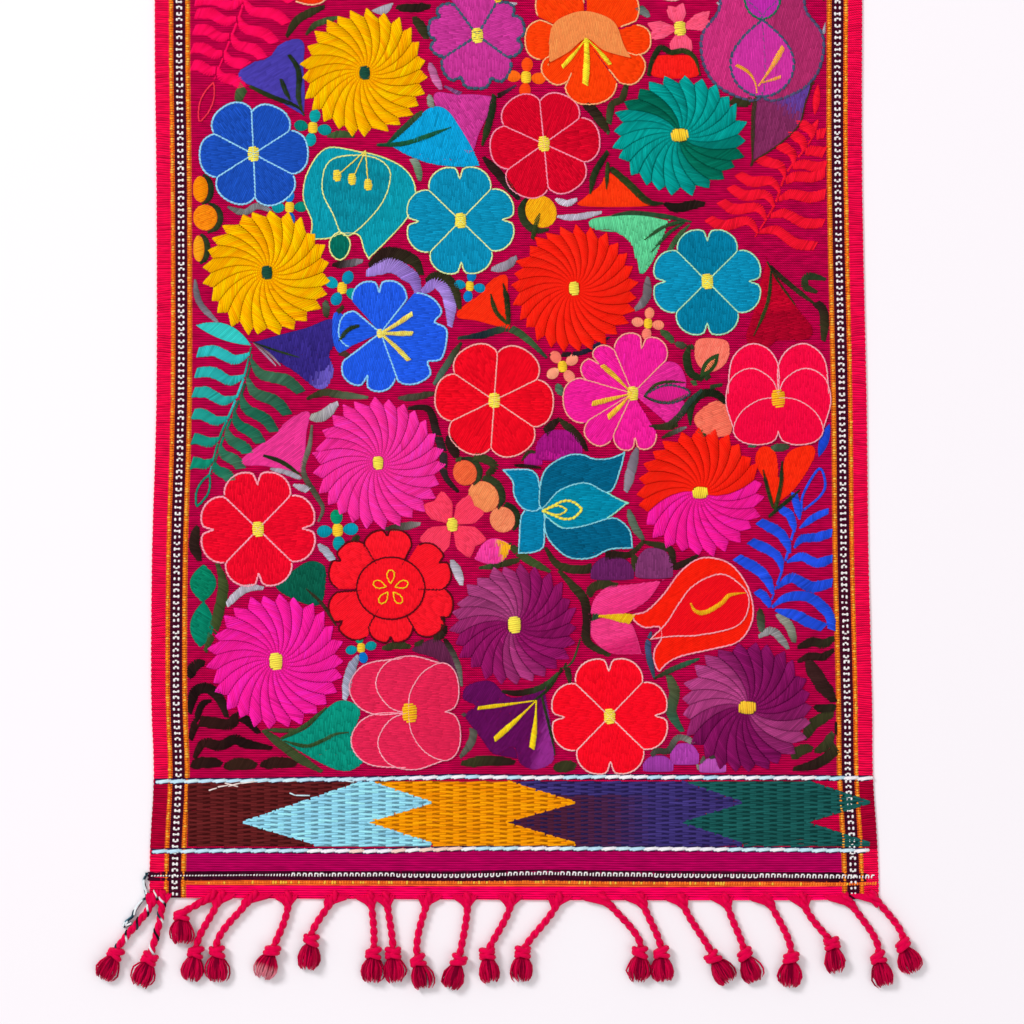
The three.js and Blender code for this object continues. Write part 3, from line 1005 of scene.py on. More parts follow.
# --------------------------------------
# Leaves, buds, bells and stems. Narrow shapes are crossed by slanted satin; broad ones are
# worked in long rows and edged with a dark or light line. Stems are satin cords that taper.
def leaf_outline(length, width, bend=0.0, blunt=1.0):
    t = np.linspace(0, 1, 11)
    half = width / 2 * np.sin(math.pi * t ** blunt) ** 0.85
    mid = bend * 4 * t * (1 - t)
    upper = np.column_stack([t * length, mid + half])
    lower = np.column_stack([t * length, mid - half])[::-1]
    return np.concatenate([upper, lower[1:-1]])


def leaf(x, d, length, width, turn, colour, bend=0.0, slant=62, blunt=1.0, lift=SATIN_LIFT, bands=None):
    """A leaf rooted at x, d; turn is the way it points, in degrees."""
    new_motif()
    outline = place(leaf_outline(length, width, bend, blunt), x, d, turn)
    satin(outline, turn + slant, colour, lift=lift, spread=0.1, bands=bands)


def shape_fill(x, d, points, colour, heading, turn=0.0, size=1.0, line=None, line_width=0.95, bands=None,
               fresh=True, over=False, level=0.0):
    """Satin inside a soft outline drawn by a few points, in units of size."""
    if fresh:
        new_motif()
    outline = place(smooth(points), x, d, turn, size)
    satin(outline, heading + turn, colour, spread=0.09, bands=bands, over=over, level=level)
    if line:
        stitch = 2.7 * max(1, line_width / 1.3)
        stitched_line(outline, line, line_width, stitch, LINE_LIFT + level, True, over)


def stem(points, width, colour, taper=(0.5, 0.5), other=None, over=False, level=0.0):
    """A satin cord along a curve; taper is its share of width at both ends, or at four places."""
    if not over:
        new_motif()
    path = smooth(points, closed=False, steps=10)
    run = run_of(path)
    at = np.arange(0.4, run[-1] - 0.3, ROW_PITCH * 1.1)
    if at.size < 2:
        return
    centre = places_on(path, run, at)
    along = np.gradient(centre, axis=0)
    along /= np.linalg.norm(along, axis=1, keepdims=True)
    side = np.stack([-along[:, 1], along[:, 0]], 1)
    t = at / run[-1]
    swell = np.interp(t, (0, 0.25, 0.7, 1), taper if len(taper) == 4 else (taper[0], 1, 1, taper[1]))
    draw = np.random.default_rng(next_seed())
    half = (width / 2 * swell * draw.uniform(0.93, 1.06, t.size))[:, None]
    start = centre - side * half - along * half * 0.5
    stop = centre + side * half + along * half * 0.5
    base = np.broadcast_to(linear(colour) if isinstance(colour, str) else colour, (t.size, 3))
    if other:
        mix = (0.5 + 0.5 * np.sin(at / 9 + draw.uniform(0, 6)))[:, None]
        base = base * (1 - mix) + linear(other) * mix
    tints = base * (1 + 0.12 * draw.normal(0, 1, (t.size, 1))).clip(0.6, 1.5)
    keep = over | free(centre[:, 0], centre[:, 1])
    lay(start, stop, ROW_PITCH * ROW_OVERLAP, 0.7 + level, tints, keep)
    if not over:
        occupy(np.concatenate([start, stop[::-1]]), 0.3)


def fern(stem_points, colour, tip_colour=None, *, leaves, longest, opened, width=6.8, hands=(1, -1),
         shape=(1.0, 1.0, 0.5), other=None):
    """A stem with blunt satin leaflets that sway in towards its tip, then out again."""
    path = smooth(stem_points, closed=False, steps=10)
    run = run_of(path)
    first, last = linear(colour), linear(tip_colour or colour)
    for number in range(leaves):
        t = (number + 0.3) / leaves
        at, ahead = places_on(path, run, np.array([t, min(t + 0.03, 1)]) * run[-1])
        ahead = ahead - at
        heading = math.atan2(ahead[1], ahead[0])
        reach = longest * np.interp(t, (0, 0.4, 1), shape)
        spread = math.radians(np.interp(t, (0, 1), opened))
        for hand in hands:
            turns = [heading + hand * spread * share for share in (0.7, 1.04, 1.0)]
            points = [at, *(at + reach * share * np.array([math.cos(turn), math.sin(turn)])
                            for share, turn in zip((0.3, 0.66, 1), turns))]
            stem(points, width, first * (1 - t) + last * t, (0.3, 0.85, 1, 0.8), other)
    stem(stem_points, 1.9, colour, other=tip_colour)


def little_flower(x, d, colours, turn, reach=9.0):
    """A small bloom of four separate oval petals round an eye."""
    new_motif("petalled_blooms")
    angle = np.linspace(0, 2 * math.pi, 14, endpoint=False)
    oval = np.column_stack([0.7 + 0.4 * np.cos(angle), (0.33 + 0.03 * np.cos(angle)) * np.sin(angle)])
    for k, colour in enumerate(colours):
        heading = turn + k * 90
        satin(place(oval, x, d, heading, reach), heading + 90, colour, spread=0.06)
    boss(x, d, reach * 0.66, "FFC830", rows=6)


def bell(x, d, length, width, turn, colour, bands=None):
    """A trumpet bloom seen from the side, narrow at its root and flared to a wavy mouth."""
    points = [(0, 0), (0, 0), (0.3, 0.17), (0.62, 0.34), (0.88, 0.52), (1.0, 0.46), (1.0, 0.2), (0.95, 0),
              (1.03, -0.22), (0.98, -0.48), (0.85, -0.53), (0.6, -0.36), (0.3, -0.2)]
    shape_fill(x, d, np.array(points) * (length, width), colour, 90, turn, bands=bands)


def mound(x, d, width, height, colour, bands=None):
    """A half round of upright satin, like the top of a bud half hidden by its leaf."""
    points = [(-0.4, 0), (-0.5, 0.2), (-0.46, 0.6), (-0.25, 0.94), (0, 1.0), (0.25, 0.94), (0.46, 0.6),
              (0.5, 0.2), (0.4, 0)]
    shape_fill(x, d, np.array(points) * (width, height), colour, 90, bands=bands)


def bud(x, d, size, colour, turn, round_by):
    """A bud, less wide than long by the share round_by, with a dark satin calyx to the side turn."""
    new_motif()
    angle = np.linspace(0, 2 * math.pi, 18, endpoint=False)
    body = np.column_stack([np.cos(angle) * round_by, np.sin(angle)]) * size / 2
    satin(place(body, x, d, turn), turn + 20, colour, spread=0.08, lift=0.85)
    sweep = np.radians(np.linspace(-80, 80, 6))
    around = np.column_stack([np.cos(sweep) * (round_by + 0.24), np.sin(sweep) * 1.16]) * size / 2
    stem(place(around, x, d, turn), size * 0.25, "2E3A22", (0.4, 0.4), "20301C")


def two_tone(colour, x, d, heading, soft):
    """Dyes what lies past the place along the heading in a second colour."""
    along = turned([1, 0], heading)

    def dye(at, base):
        past = ((at - (x, d)) @ along)[:, None]
        share = np.clip(past / soft + 0.5, 0, 1)
        return base * (1 - share) + linear(colour) * share
    return dye


def pansy(x, d, size, colour, line, turn):
    """Two tall back petals, two cheeks and a broad notched lip, each edged in one light line."""
    new_motif("petalled_blooms")
    back = [(0, 0.1), (0, 0.62), (0.2, 0.95), (0.55, 1.04), (0.88, 0.75), (0.96, 0.1)]
    cheek = [(0, 0.05), (0.12, 0.36), (0.5, 0.58), (0.88, 0.4), (1, -0.05), (0.86, -0.55)]
    lip = [(0, 0.02), (0.35, -0.02), (0.7, -0.25), (0.86, -0.6), (0.7, -0.82), (0.35, -0.88), (0.08, -0.8),
           (0, -0.62)]
    for step, half in enumerate((back, cheek, lip)):
        for hand in (1, -1):
            edge = place(smooth(np.array(half) * (hand, 1), closed=False), x, d, turn, size)
            satin(np.concatenate([edge, [(x, d)]]), 92 + turn, colour, over=step > 0, level=0.16 * step)
            stitched_line(edge, line, 0.85, 2.7, over=True, lift=LINE_LIFT + 0.16 * step)
    boss(x, d, size * 0.34, "FFB820", lift=1.6)


# --------------------------------------
# The embroidered field. Blooms are worked first, then bells, leaves and stems that tuck in between
# them. Places are (x, distance from the end edge) in mm on the near half of the cloth; the far
# half is the same work turned end for end.
YELLOW, TEAL, RED_ORANGE, PINK, MAGENTA, PLUM = "FFA800", "048C7A", "FF2010", "EC2C92", "E81C92", "821258"
OLIVE, BARK, MOSS, ASH, LAVENDER = "36361F", "2A1C18", "3E5A34", "A8A2AE", "9C80CC"


def sector_dye(colour, *sectors, soft=1):
    """Dyes the blades of each sector, a direction and a half width in degrees, in a second colour."""
    def dye(place_in, base):
        angle = np.degrees(np.arctan2(place_in[:, 1], place_in[:, 0]))
        within = [share - np.abs((angle - lean + 180) % 360 - 180) for lean, share in sectors]
        mix = np.clip(np.max(within, axis=0) / soft + 0.5, 0, 1)[:, None]
        return base * (1 - mix) + linear(colour) * mix
    return dye


pinwheel(-83, 464.5, 35.5, YELLOW, "1F5140", 7.5)
pinwheel(-138, 352, 35.5, YELLOW, "1F5140", 7.5, blades=24)
pinwheel(94.4, 429.4, 37.5, "048E86", "FFCA34", blades=24, eye_turn=92, tall=0.89,
    dye=sector_dye("03604C", (-45, 30), (128, 14), soft=12))
pinwheel(35, 343, 35.3, RED_ORANGE, eye=7.5, blades=27)
pinwheel(-75.4, 244.8, 36.8, PINK, eye=7.5, blades=26)
pinwheel(106, 228, 35.5, RED_ORANGE, "FFD83C", 8.5, eye_turn=90, dye=sector_dye("EA1A8E", (-83, 90)))
pinwheel(1.4, 153.6, 35.5, PLUM, tall=0.95, dye=sector_dye("9A3A72", (128, 42), (-88, 8), soft=40))
pinwheel(-133, 133, 38, MAGENTA, blades=26)
pinwheel(132.5, 107, 37, "741052", "FFC234", eye_turn=85, dye=sector_dye("A23C78", (150, 36), (-34, 14),
    soft=25))
petalled(-145.6, 418.8, [30.4, 29, 31, 30, 29.5, 31], "1A4CB0", "8CCAEA", turn=2.5, line_width=1.1)
petalled(18, 424.5, [31.2, 29.5, 30.5, 30, 31.5, 30.5], "CC0626", "FF8CA4", turn=5.5)
petalled(-10, 280, [33] * 6, "E40A20", "FFA6A0", turn=-4)
petalled(-29, 381.3, [31] * 4, "0A8AB0", "D6E8A0", heart_petal, turn=1)
petalled(110, 347, [31, 30, 31, 31], ("0A8AB0", "04789A", "0A8AB0", "04789A"), "A6DCB4", heart_petal)
petalled(-143, 207.5, [33] * 4, "E20A28", "FF9CAC", heart_petal, turn=1, line_width=1.1)
petalled(55, 102, [33.5] * 4, "F80C22", "FFB0B0", heart_petal, turn=1)

# The magenta bloom with indigo-green lines, and the orange lily with a pale cap.
blossom(-19.5, 485.5, [(12, 26.5, 48, lobed_petal), (93, 34, 33, lobed_petal),
    (170, 27.5, 43.5, lobed_petal), (268.5, 29.5, 55.5, lobed_petal)], "BE3490", "3A5468", line_width=1.9)
blossom(41.8, 483, [(turn, reach, half, round_petal) for turn, reach, half in ((0, 36, 17), (-33, 37, 19),
    (-84, 36, 30), (-135, 31, 21), (180, 34, 24), (124, 37, 30), (55, 37, 34))], "FC3E08", "FFAE78", eye=0,
    spokes=0.3)
shape_fill(42, 483, [(-0.62, -0.38), (-0.62, -0.38), (-0.58, 0.2), (-0.3, 0.42), (0.05, 0.47), (0.45, 0.3),
    (0.62, -0.1), (0.74, -0.3), (0.74, -0.3), (0.3, -0.18), (0, 0.02), (-0.3, -0.2)], "FA9450", 82, size=34,
    fresh=False, over=True, level=0.75)
stamens(41.8, 484, [(41.2, 458)], "FFDC30", 4.4, 0.7)
stamens(41.8, 484, [(28, 467.5), (55.5, 469)], "FFDC30", 3)

# The teal bell that hangs open, its three stamens and its dark bud below.
new_motif("petalled_blooms")
shape_fill(-87, 397, [(0.02, 0.72), (-0.55, 0.78), (-0.88, 0.35), (-0.95, -0.1), (-0.8, -0.5),
    (-0.84, -0.82), (-0.84, -0.82), (-0.5, -0.8), (-0.3, -0.72), (0.02, -0.74), (0.12, -1.02), (0.2, -1.15),
    (0.2, -1.15), (0.5, -0.86), (0.9, -0.4), (1.02, 0.05), (0.85, 0.4), (0.45, 0.62)], "0A94A6", 84,
    size=32, line="E0E890", line_width=0.8)
shape_fill(-87, 397, [(0, 0.66), (-0.5, 0.55), (-0.62, 0.05), (-0.42, -0.4), (-0.28, -0.72),
    (-0.05, -0.7), (0.42, -0.2), (0.58, 0.3), (0.42, 0.56)], "0A8496", 88, size=32, line="E0E890",
    fresh=False, over=True, level=0.2)
shape_fill(-97, 367, [(0, 1), (-0.68, 0.4), (-0.62, -0.5), (0, -1), (0.58, -0.5), (0.7, 0.4)], "046858", 90,
    size=8, line="E0E890", fresh=False)
for knob_x, knob_d in ((-98.5, 406.5), (-90, 404.5), (-81, 401.5)):
    stitched_line([(-82.5, 420.5), (knob_x, knob_d)], "F0D860", 0.9, 3.5, lift=1.4, over=True)
    boss(knob_x, knob_d, 6.5, "FFD23A", rows=6, lift=1.4)

# The iris by the right border, and the blue bloom of four broad petals with three stamens.
for hand in (-1, 1):
    shape_fill(141, 482, [(0, 0.32), (0.1 * hand, 0.55), (0.62 * hand, 0.92), (0.72 * hand, 0.5),
        (1 * hand, 0.1), (0.94 * hand, -0.45), (0.6 * hand, -0.82), (0, -0.9)], "C43078", 76, size=34,
        line="4A4A6A", line_width=1.9, bands=two_tone("A42A62", 146, 482, 0, 4))
new_motif("petalled_blooms")
shape_fill(141, 482, [(0, 0.36), (0, 0.36), (-0.34, 0.05), (-0.52, -0.3), (-0.44, -0.66), (-0.16, -0.88),
    (0.16, -0.88), (0.44, -0.66), (0.52, -0.3), (0.34, 0.05)], "CC34A0", 86, size=34, line="3A5068",
    over=True, level=0.35, line_width=1.9)
shape_fill(141, 500, [(0, -0.16), (-0.24, 0), (-0.28, 0.3), (0, 0.5), (0.28, 0.3), (0.24, 0)], "BC2CA8",
    90, size=34, line="1C6A50", fresh=False, over=True, level=0.35, line_width=1.6)
stem([(137.9, 453), (136.9, 459), (132.9, 465), (126, 469)], 2.8, "FFB020", (0.5, 0.6, 1, 0.9), over=True,
    level=0.8)
stamens(138.8, 457, [(153, 479.3)], "FFB020", 4, 0.4)
stamens(141, 459, [(151.8, 462.4)], "FFB020", 2.6, 0.6)
blossom(-74, 318, [(92, 30, 40, heart_petal), (-10, 37, 60, lobed_petal), (253, 33, 36, heart_petal),
    (172, 23.5, 32, round_petal)], "2058DC", "84C4F0", eye=0, line_width=1.1)
shape_fill(-94, 319, [(-0.6, -0.2), (-0.45, 0.9), (0.4, 0.4), (1, -0.1), (0.3, -0.7), (-0.3, -1)],
    "2456D4", 75, size=12)
stamens(-74, 317.7, [(-56, 329), (-55.5, 317.7), (-58, 302.5)], "FFE068", 3.4, 0.6)
boss(-74.4, 317.7, 5, "FFE068", rows=5)

# The magenta bloom with peach lines and long stamens, the two pansies and the red zinnia.
blossom(68, 284, [(20, 31, 25, round_petal), (-22, 31, 19, round_petal)], "DA2890", eye=0)
blossom(68, 284, [(79, 34, 34, heart_petal), (139, 33, 26, heart_petal), (188, 39, 24, round_petal),
    (228.5, 36, 17, round_petal), (273, 32.5, 28, heart_petal)], "E81E94", "FFA08C", eye=8, line_width=0.85)
stamens(67.5, 284, [(50.5, 300), (44.5, 278), (53.6, 270)], "FFC43A", 3.6)
satin(place(leaf_outline(26, 10), 75, 282.6, 4), 80, "D8208A", over=True, level=0.4)
stitched_line(place(leaf_outline(26, 10), 75, 282.6, 4), "3A4A50", 1.7, 2.4, over=True, lift=1.4)
stem([(107, 285.7), (99.5, 278.5), (94, 271), (87, 266), (76.9, 265.6)], 4, "2A4438", (0.6, 0.3), OLIVE,
    over=True, level=0.5)
pansy(150, 281, 29.5, "F20A40", "FFA4B0", 0)
pansy(-57.6, 104, 32, "DA2450", "FFA0B0", 92)
blossom(-68.3, 174.2, [(turn, reach, 30, cleft_petal) for turn, reach in ((94, 33), (28, 35), (-30, 36.5),
    (-90, 30.5), (-146, 37), (151, 36))], "F81828", "541018", eye=0, line_width=1.1, spokes=0.45)
angle = np.linspace(0, 2 * math.pi, 30, endpoint=False)
disk = np.column_stack([np.cos(angle) * 19.2, np.sin(angle) * 17.5]) + (-68.3, 174.2)
satin(disk, 92, "F81626", over=True, level=0.3, lift=0.7)
stitched_line(disk, "541018", 1.1, 2.6, closed=True, over=True, lift=1.3)
# A plain ring of little yellow loops stands on the disk.
for turn in range(0, 360, 72):
    loop = place(leaf_outline(8.2, 4.6, blunt=1.3), -68.3, 174.2, turn + 18)
    loop = loop + 2.6 * np.array([math.cos(math.radians(turn + 18)), math.sin(math.radians(turn + 18))])
    stitched_line(loop, "FFC81E", 0.95, 2.2, closed=True, lift=1.55, over=True)

# The teal lily on its side, the red calla with pink lobes, and the dark purple fan.
LILY_X, LILY_D = 17.5, 218.6
for points, colour, heading, line in (
        ([(-0.03, 0.01), (-0.055, 0.42), (0.07, 0.77), (0.43, 1), (0.73, 1.03), (0.93, 0.95),
            (1.24, 0.95), (1.52, 1.05), (1.52, 1.05), (1.44, 0.72), (1.24, 0.32), (0.8, 0.5), (0.3, 0.35)],
            "045E80", 14, "7CC8D4"),
        ([(0.05, -0.14), (0.07, -0.49), (0.33, -0.8), (0.58, -0.92), (0.93, -0.9), (1.24, -0.75),
            (1.67, -0.72), (1.67, -0.72), (1.64, -0.44), (1.52, -0.27), (1.29, -0.16), (0.8, -0.3),
            (0.35, -0.35)], "045E80", -6, "7CC8D4"),
        ([(0, 0.01), (0.17, 0.29), (0.43, 0.49), (0.68, 0.55), (0.98, 0.49), (1.24, 0.29), (1.57, 0.12),
            (1.57, 0.12), (1.24, -0.14), (0.83, -0.34), (0.48, -0.39), (0.12, -0.19)], "0486A4", 4,
            "8ED8C0"),
        ([(-0.06, 0.02), (-0.08, 0.52), (-0.18, 0.71), (-0.38, 0.75), (-0.74, 0.74), (-0.74, 0.74),
            (-0.56, 0.52), (-0.54, 0.27), (-0.36, 0.01)], "067CA4", 8, "84CCDC"),
        ([(0, 0), (-0.28, 0), (-0.41, -0.14), (-0.44, -0.49), (-0.46, -0.82), (-0.46, -0.82), (-0.18, -0.8),
            (0, -0.7), (0.02, -0.39)], "067CA4", 8, "84CCDC")):
    shape_fill(LILY_X, LILY_D, points, colour, heading, size=30, line=line)
for reach, across, width in ((22.5, 5.4, 1.5), (14, 2.6, 1.1)):
    loop = place(leaf_outline(reach, across * 2, blunt=1.5), LILY_X - 0.5, LILY_D - 0.8, 2)
    stitched_line(loop, "ECDC50", width, 2.6, closed=True, lift=1.4, over=True)
shape_fill(44, 158, [(0, 0.1), (0, 0.1), (0.12, 0.5), (0.5, 0.86), (1, 0.9), (2, 1.02), (2, 1.02),
    (1.66, 0.52), (1.1, 0.16), (0.5, 0.02)], "F03C86", 22, size=20, bands=two_tone("E0307A", 62, 168, -60,
    8))
shape_fill(44, 156, [(0, 0), (0, 0), (0.06, -0.5), (0.6, -0.92), (1.45, -0.94), (1.45, -0.94), (1.3, -0.4),
    (1.1, -0.04), (0.5, 0.08)], "E83A80", 14, size=20, bands=two_tone("C81E62", 64, 146, -70, 6))
shape_fill(0, 0, [(68, 159), (76, 161.4), (85.7, 171), (93.7, 182), (102.5, 189.5), (111.3, 191.4),
    (123, 187.8), (131.8, 176.8), (135.8, 163.6), (134, 152.6), (126.7, 143.8), (111.3, 139.7),
    (96.7, 136.5), (88.6, 133), (82.8, 127.3), (82.8, 127.3), (80, 133), (80.6, 140.2), (84, 145.3),
    (83, 152.6), (75.4, 152), (70, 155)], "FA1E0C", 28, line="FF9AA8")
shape_fill(0, 0, [(78.4, 145.7), (78.4, 145.7), (87.2, 154.8), (93.7, 165), (101, 174.6), (110.6, 180.4),
    (119.4, 182), (128, 176.8), (133.3, 169.5), (131.8, 159), (124.5, 152), (104.7, 147.8), (90, 147.2)],
    "F2101E", 45, line="FFA0A8", fresh=False, over=True, level=0.35)
stem([(100.6, 165.8), (103.3, 161.4), (109, 160.7), (118, 165.8), (122.3, 170.2), (131.8, 171.7)], 3.4,
    "FFB81E", (0.5, 1, 0.9, 0.25), over=True, level=0.9)
stem([(48.8, 158.6), (58, 158), (68.4, 156.6)], 6.4, "FFC41E", (0.3, 0.45, 0.95, 1), over=True, level=0.6)
shape_fill(-3, 100, [(0.84, 0.68), (0.84, 0.68), (0.1, 0.5), (-0.35, 0.86), (-0.85, 0.76), (-0.96, 0.46),
    (-0.7, 0.3), (-0.92, 0.08), (-0.58, -0.4), (-0.26, -0.78), (0.14, -0.6), (0.3, -0.98), (0.66, -1.1),
    (1.04, -0.86), (1, -0.2)], "5E0E54", 58, size=25.5, bands=two_tone("8E2A86", 17, 96, -12, 5))
stamens(13.7, 111, [(-19.7, 106.6)], "FFD21E", 2.8)
stamens(13.7, 111, [(-9.9, 89), (11.1, 83.3)], "FFD21E", 4, 0.3)

# Pointed stars and the little four-petalled blooms.
blossom(94.6, 489.5, [(18, 19.5, 24, toothed_petal), (101, 14.5, 34, toothed_petal),
    (185, 18.5, 26, toothed_petal), (274, 15.5, 40, toothed_petal)], "F85478", eye=8)
blossom(-33.6, 209.9, [(41, 19.5, 38, toothed_petal), (127, 20, 38, toothed_petal),
    (224, 20.5, 38, toothed_petal), (317, 21, 38, toothed_petal)], "F43C5C", eye=7.6)
little_flower(-112.2, 433.6, ("0A9A9A", "067A70", "0A9AA2", "088A8C"), turn=80, reach=9.5)
little_flower(-125.3, 388.8, ("0A6FC0", "088E96", "1060B8", "06806E"), turn=92, reach=9)
little_flower(-95.7, 343.2, ("0A86A8", "0A9AAE", "0A86A8", "06948A"), turn=62, reach=9.6)
little_flower(-23.8, 344.3, ("0A72B4", "0886A8", "0A7ABC", "0A86AE"), turn=80, reach=8)
little_flower(7.9, 462, ("F84A12", "FA6A14", "F64410", "FC5A10"), turn=85, reach=10)
little_flower(76.6, 323.3, ("FC8C6C", "FA9474", "F8806A", "FC8A6C"), turn=82, reach=8.2)
little_flower(28.4, 299, ("FC9474", "F67A66", "FCA07C", "FA8C74"), turn=35, reach=9.2)
little_flower(-98.2, 206.9, ("0892A8", "06946A", "088CA0", "0A9098"), turn=5, reach=10.5)
little_flower(-85, 140.6, ("088C90", "069070", "088A9A", "0A70C0"), turn=12, reach=7.9)

# Bells, mounds, tulip and buds, with the sky-blue leaf that tucks in beside one bell.
shape_fill(-45, 428, [(-2.5, -0.4), (-2.5, -0.4), (-1.3, 0.6), (-0.2, 1.65), (0.7, 1.65), (1.5, 0.7),
    (2.6, -1.3), (2.3, -1.65), (0.5, -1.6), (-1, -1.2)], "0A9CD0", 75, size=10)
stem([(-76, 424), (-62, 424.5), (-50, 428), (-34, 434)], 3.4, "1A5A3C", (0.5, 0.3), over=True, level=0.5)
stem([(-70, 424.6), (-60, 434), (-52, 441), (-44, 445)], 4, "3A4A2A", (0.5, 0.3), "1A4A34")
bell(-9, 451, 31, 37, 212, "C0368E")
bell(-117.2, 440.4, 40, 39, 121, "463CA2")
bell(-146, 312.6, 46, 38, -9, "34287E", bands=two_tone("6C5CC0", -104, 297, -50, 6))
bell(-118.7, 239.7, 26.5, 45, 128, "E2368E")
bell(-1, 320, 27, 34, 131, "FB2E10")
bell(143.5, 359, 47, 36, -80, "B80628", bands=two_tone("A40426", 150, 331, -85, 5))
shape_fill(57.7, 389.5, [(-1, 0), (-0.86, 0.3), (-0.45, 0.62), (-0.2, 1), (0.1, 0.85), (0.6, 0.5),
    (0.95, 0.25), (1, 0)], "FA360E", 86, size=18.5)
shape_fill(91.8, 468.4, [(-1, -0.5), (-1, 0.3), (-0.7, 0.5), (0.7, 0.5), (1, 0.3), (1, -0.5)], "F41E1A", 86,
    size=12)
mound(26.5, 246.5, 26, 17, "9A1478", bands=two_tone("B01884", 26.5, 250, -90, 3))
mound(12, 243.5, 10, 7, "A4167C")
mound(56.5, 179, 24, 13, "64205C")
mound(80, 180, 21, 17, "7A3468")
mound(82.3, 71, 17, 9, "943898")
mound(97.2, 75, 16, 12, "A43CA0")
mound(113, 70.5, 15, 8, "B04EAA")
for points in (
        [(0, 0), (0, 0), (-0.34, 1), (-0.85, 2), (-0.6, 2.7), (0, 2.6), (0.2, 1.8), (0.16, 0.8)],
        [(0.04, 0), (0.04, 0), (0.3, 1.3), (0.66, 2.4), (1.35, 2.75), (1.9, 2.7), (1.8, 2), (0.95, 0.7)]):
    shape_fill(147.3, 221.2, points, "FC2A0E", 78, size=12)
for bud_x, bud_d, size, colour, turn, round_by in ((-175.5, 399, 14.5, "FF8C08", 0, 0.6),
        (-172.8, 383, 14.5, "FF8A10", 0, 0.95), (-176.5, 365.5, 14.5, "F8A01A", 0, 0.45),
        (16.3, 386.4, 19, "FFAE14", 215, 0.9), (-26.5, 239.2, 14.5, "F4683C", 25, 0.92),
        (-16, 225.8, 18.5, "F99058", 40, 0.88), (-5.4, 212.9, 14.8, "FA8C60", 35, 0.95)):
    bud(bud_x, bud_d, size, colour, turn, round_by)
# The salmon buds by the right border, each half wrapped in a green-black leaf.
shape_fill(112.5, 305.5, [(-1, 0.3), (-0.8, 0.9), (0, 1), (0.9, 0.8), (1, 0), (0.6, -0.7), (-0.2, -1),
    (-0.85, -0.5)], "FA7864", 70, size=9.6)
stem([(100, 311), (98.5, 303), (101, 295), (108, 292)], 5, "2C4020", (0.4, 0.8), "24321C")
satin(place(leaf_outline(17, 6.6), 106, 293, 52), 130, "2C4A24", over=True, level=0.4)
satin(place(leaf_outline(11, 3.4), 108, 295.4, 52), 130, "F08058", over=True, level=0.8, bed=False)
shape_fill(113.6, 270.2, [(-1.1, 0), (-0.6, 0.55), (0.2, 0.95), (0.9, 0.5), (1.05, -0.4), (0.8, -1),
    (-0.3, -1), (-0.9, -0.55)], "F07058", 20, size=10)
stem([(100.4, 266), (100.8, 277), (107, 283.5), (116, 283), (123.5, 273)], 5, "22341C", (0.3, 0.4),
    "1C2014")
stem([(105, 261.6), (110, 259.8), (117, 261)], 4, "2C4A24", (0.5, 0.4), OLIVE)
leaf(-21, 190.5, 22, 15, 22, "F23E9A", blunt=1.1, bands=two_tone("F8B020", -7.5, 197, 20, 3), lift=0.85)

# Ferns by the borders.
fern([(-146, 540), (-151, 505), (-160, 480), (-168, 460)], "FF0A56", leaves=8, longest=28, opened=(74, 74),
    shape=(1, 1, 0.55), width=7.2)
stitched_line(place(leaf_outline(24, 7), -168, 459, -110), "F0304A", 0.9, 2.6, closed=True)
shape_fill(0, 0, [(137, 451), (155, 455), (169, 458.5), (169, 458.5), (165, 447), (161.5, 435), (150, 424),
    (135.5, 414.5), (135.5, 414.5)], "7A2A58", 78, line="43301F", bands=two_tone("5E3C92", 155, 445, 60, 6))
RED_STEM = [(136.9, 372), (147.8, 390), (154.5, 407.7), (166.7, 424), (171.4, 433.4)]
fern(RED_STEM, "E8142E", leaves=8, longest=30, opened=(108, 50), hands=(1,), shape=(1, 0.85, 0.4))
fern(RED_STEM, "E8142E", leaves=7, longest=34, opened=(72, 35), hands=(-1,), shape=(1, 0.85, 0.4))
leaf(167, 428, 12, 3.6, 62, "E8142E")
fern([(-147, 310), (-151, 293), (-157, 277), (-165, 258), (-170.5, 238)], "2EB4B6", "08805C", leaves=6,
    longest=29, opened=(80, 62), hands=(-1,), shape=(1.05, 0.9, 0.5), width=7)
fern([(-146.5, 306), (-149, 293), (-155, 277), (-163, 258), (-169.5, 238)], "22503C", "0A7A5E", leaves=7,
    longest=32, opened=(66, 58), hands=(1,), shape=(1.1, 0.85, 0.35), width=7.2, other="3C6A50")
leaf(-147, 311, 33, 9, 160, "34C2BC", bend=-2)
stitched_line(place(leaf_outline(19, 6.5), -170.5, 238, -112), "0A8068", 1.1, 2.6, closed=True)
BLUE = "2450DC"
for points, width in (
        ([(162, 208), (170, 214), (179, 218)], 4.6),
        ([(159, 197), (163, 202), (172, 203), (182, 206)], 6),
        ([(155, 189), (163, 192), (172, 188.5), (182, 191.5)], 6.2),
        ([(149.5, 174.5), (157.5, 180), (169, 175), (181, 177.5)], 7.2),
        ([(146.5, 163.5), (154.5, 169), (167.5, 169), (178, 160), (180, 151)], 6.8),
        ([(148.5, 162), (160, 159), (167.5, 155), (176, 152)], 7.2),
        ([(162, 213), (160.5, 220), (159, 228)], 5),
        ([(159, 206), (156.5, 215), (150, 220)], 5.8),
        ([(156.5, 194), (151.5, 204.5), (139, 212)], 6.8),
        ([(152, 184), (148.5, 193), (134, 201)], 6.6),
        ([(147, 171), (141, 182.5), (126, 192)], 7),
        ([(145, 163.5), (142, 169.5), (137.5, 173)], 6)):
    stem(points, width, BLUE, (0.3, 0.85, 1, 0.75), "2048C8")
stem([(144.5, 163), (148.5, 174), (154.5, 191.5), (162, 219), (163.5, 222)], 1.9, BLUE)
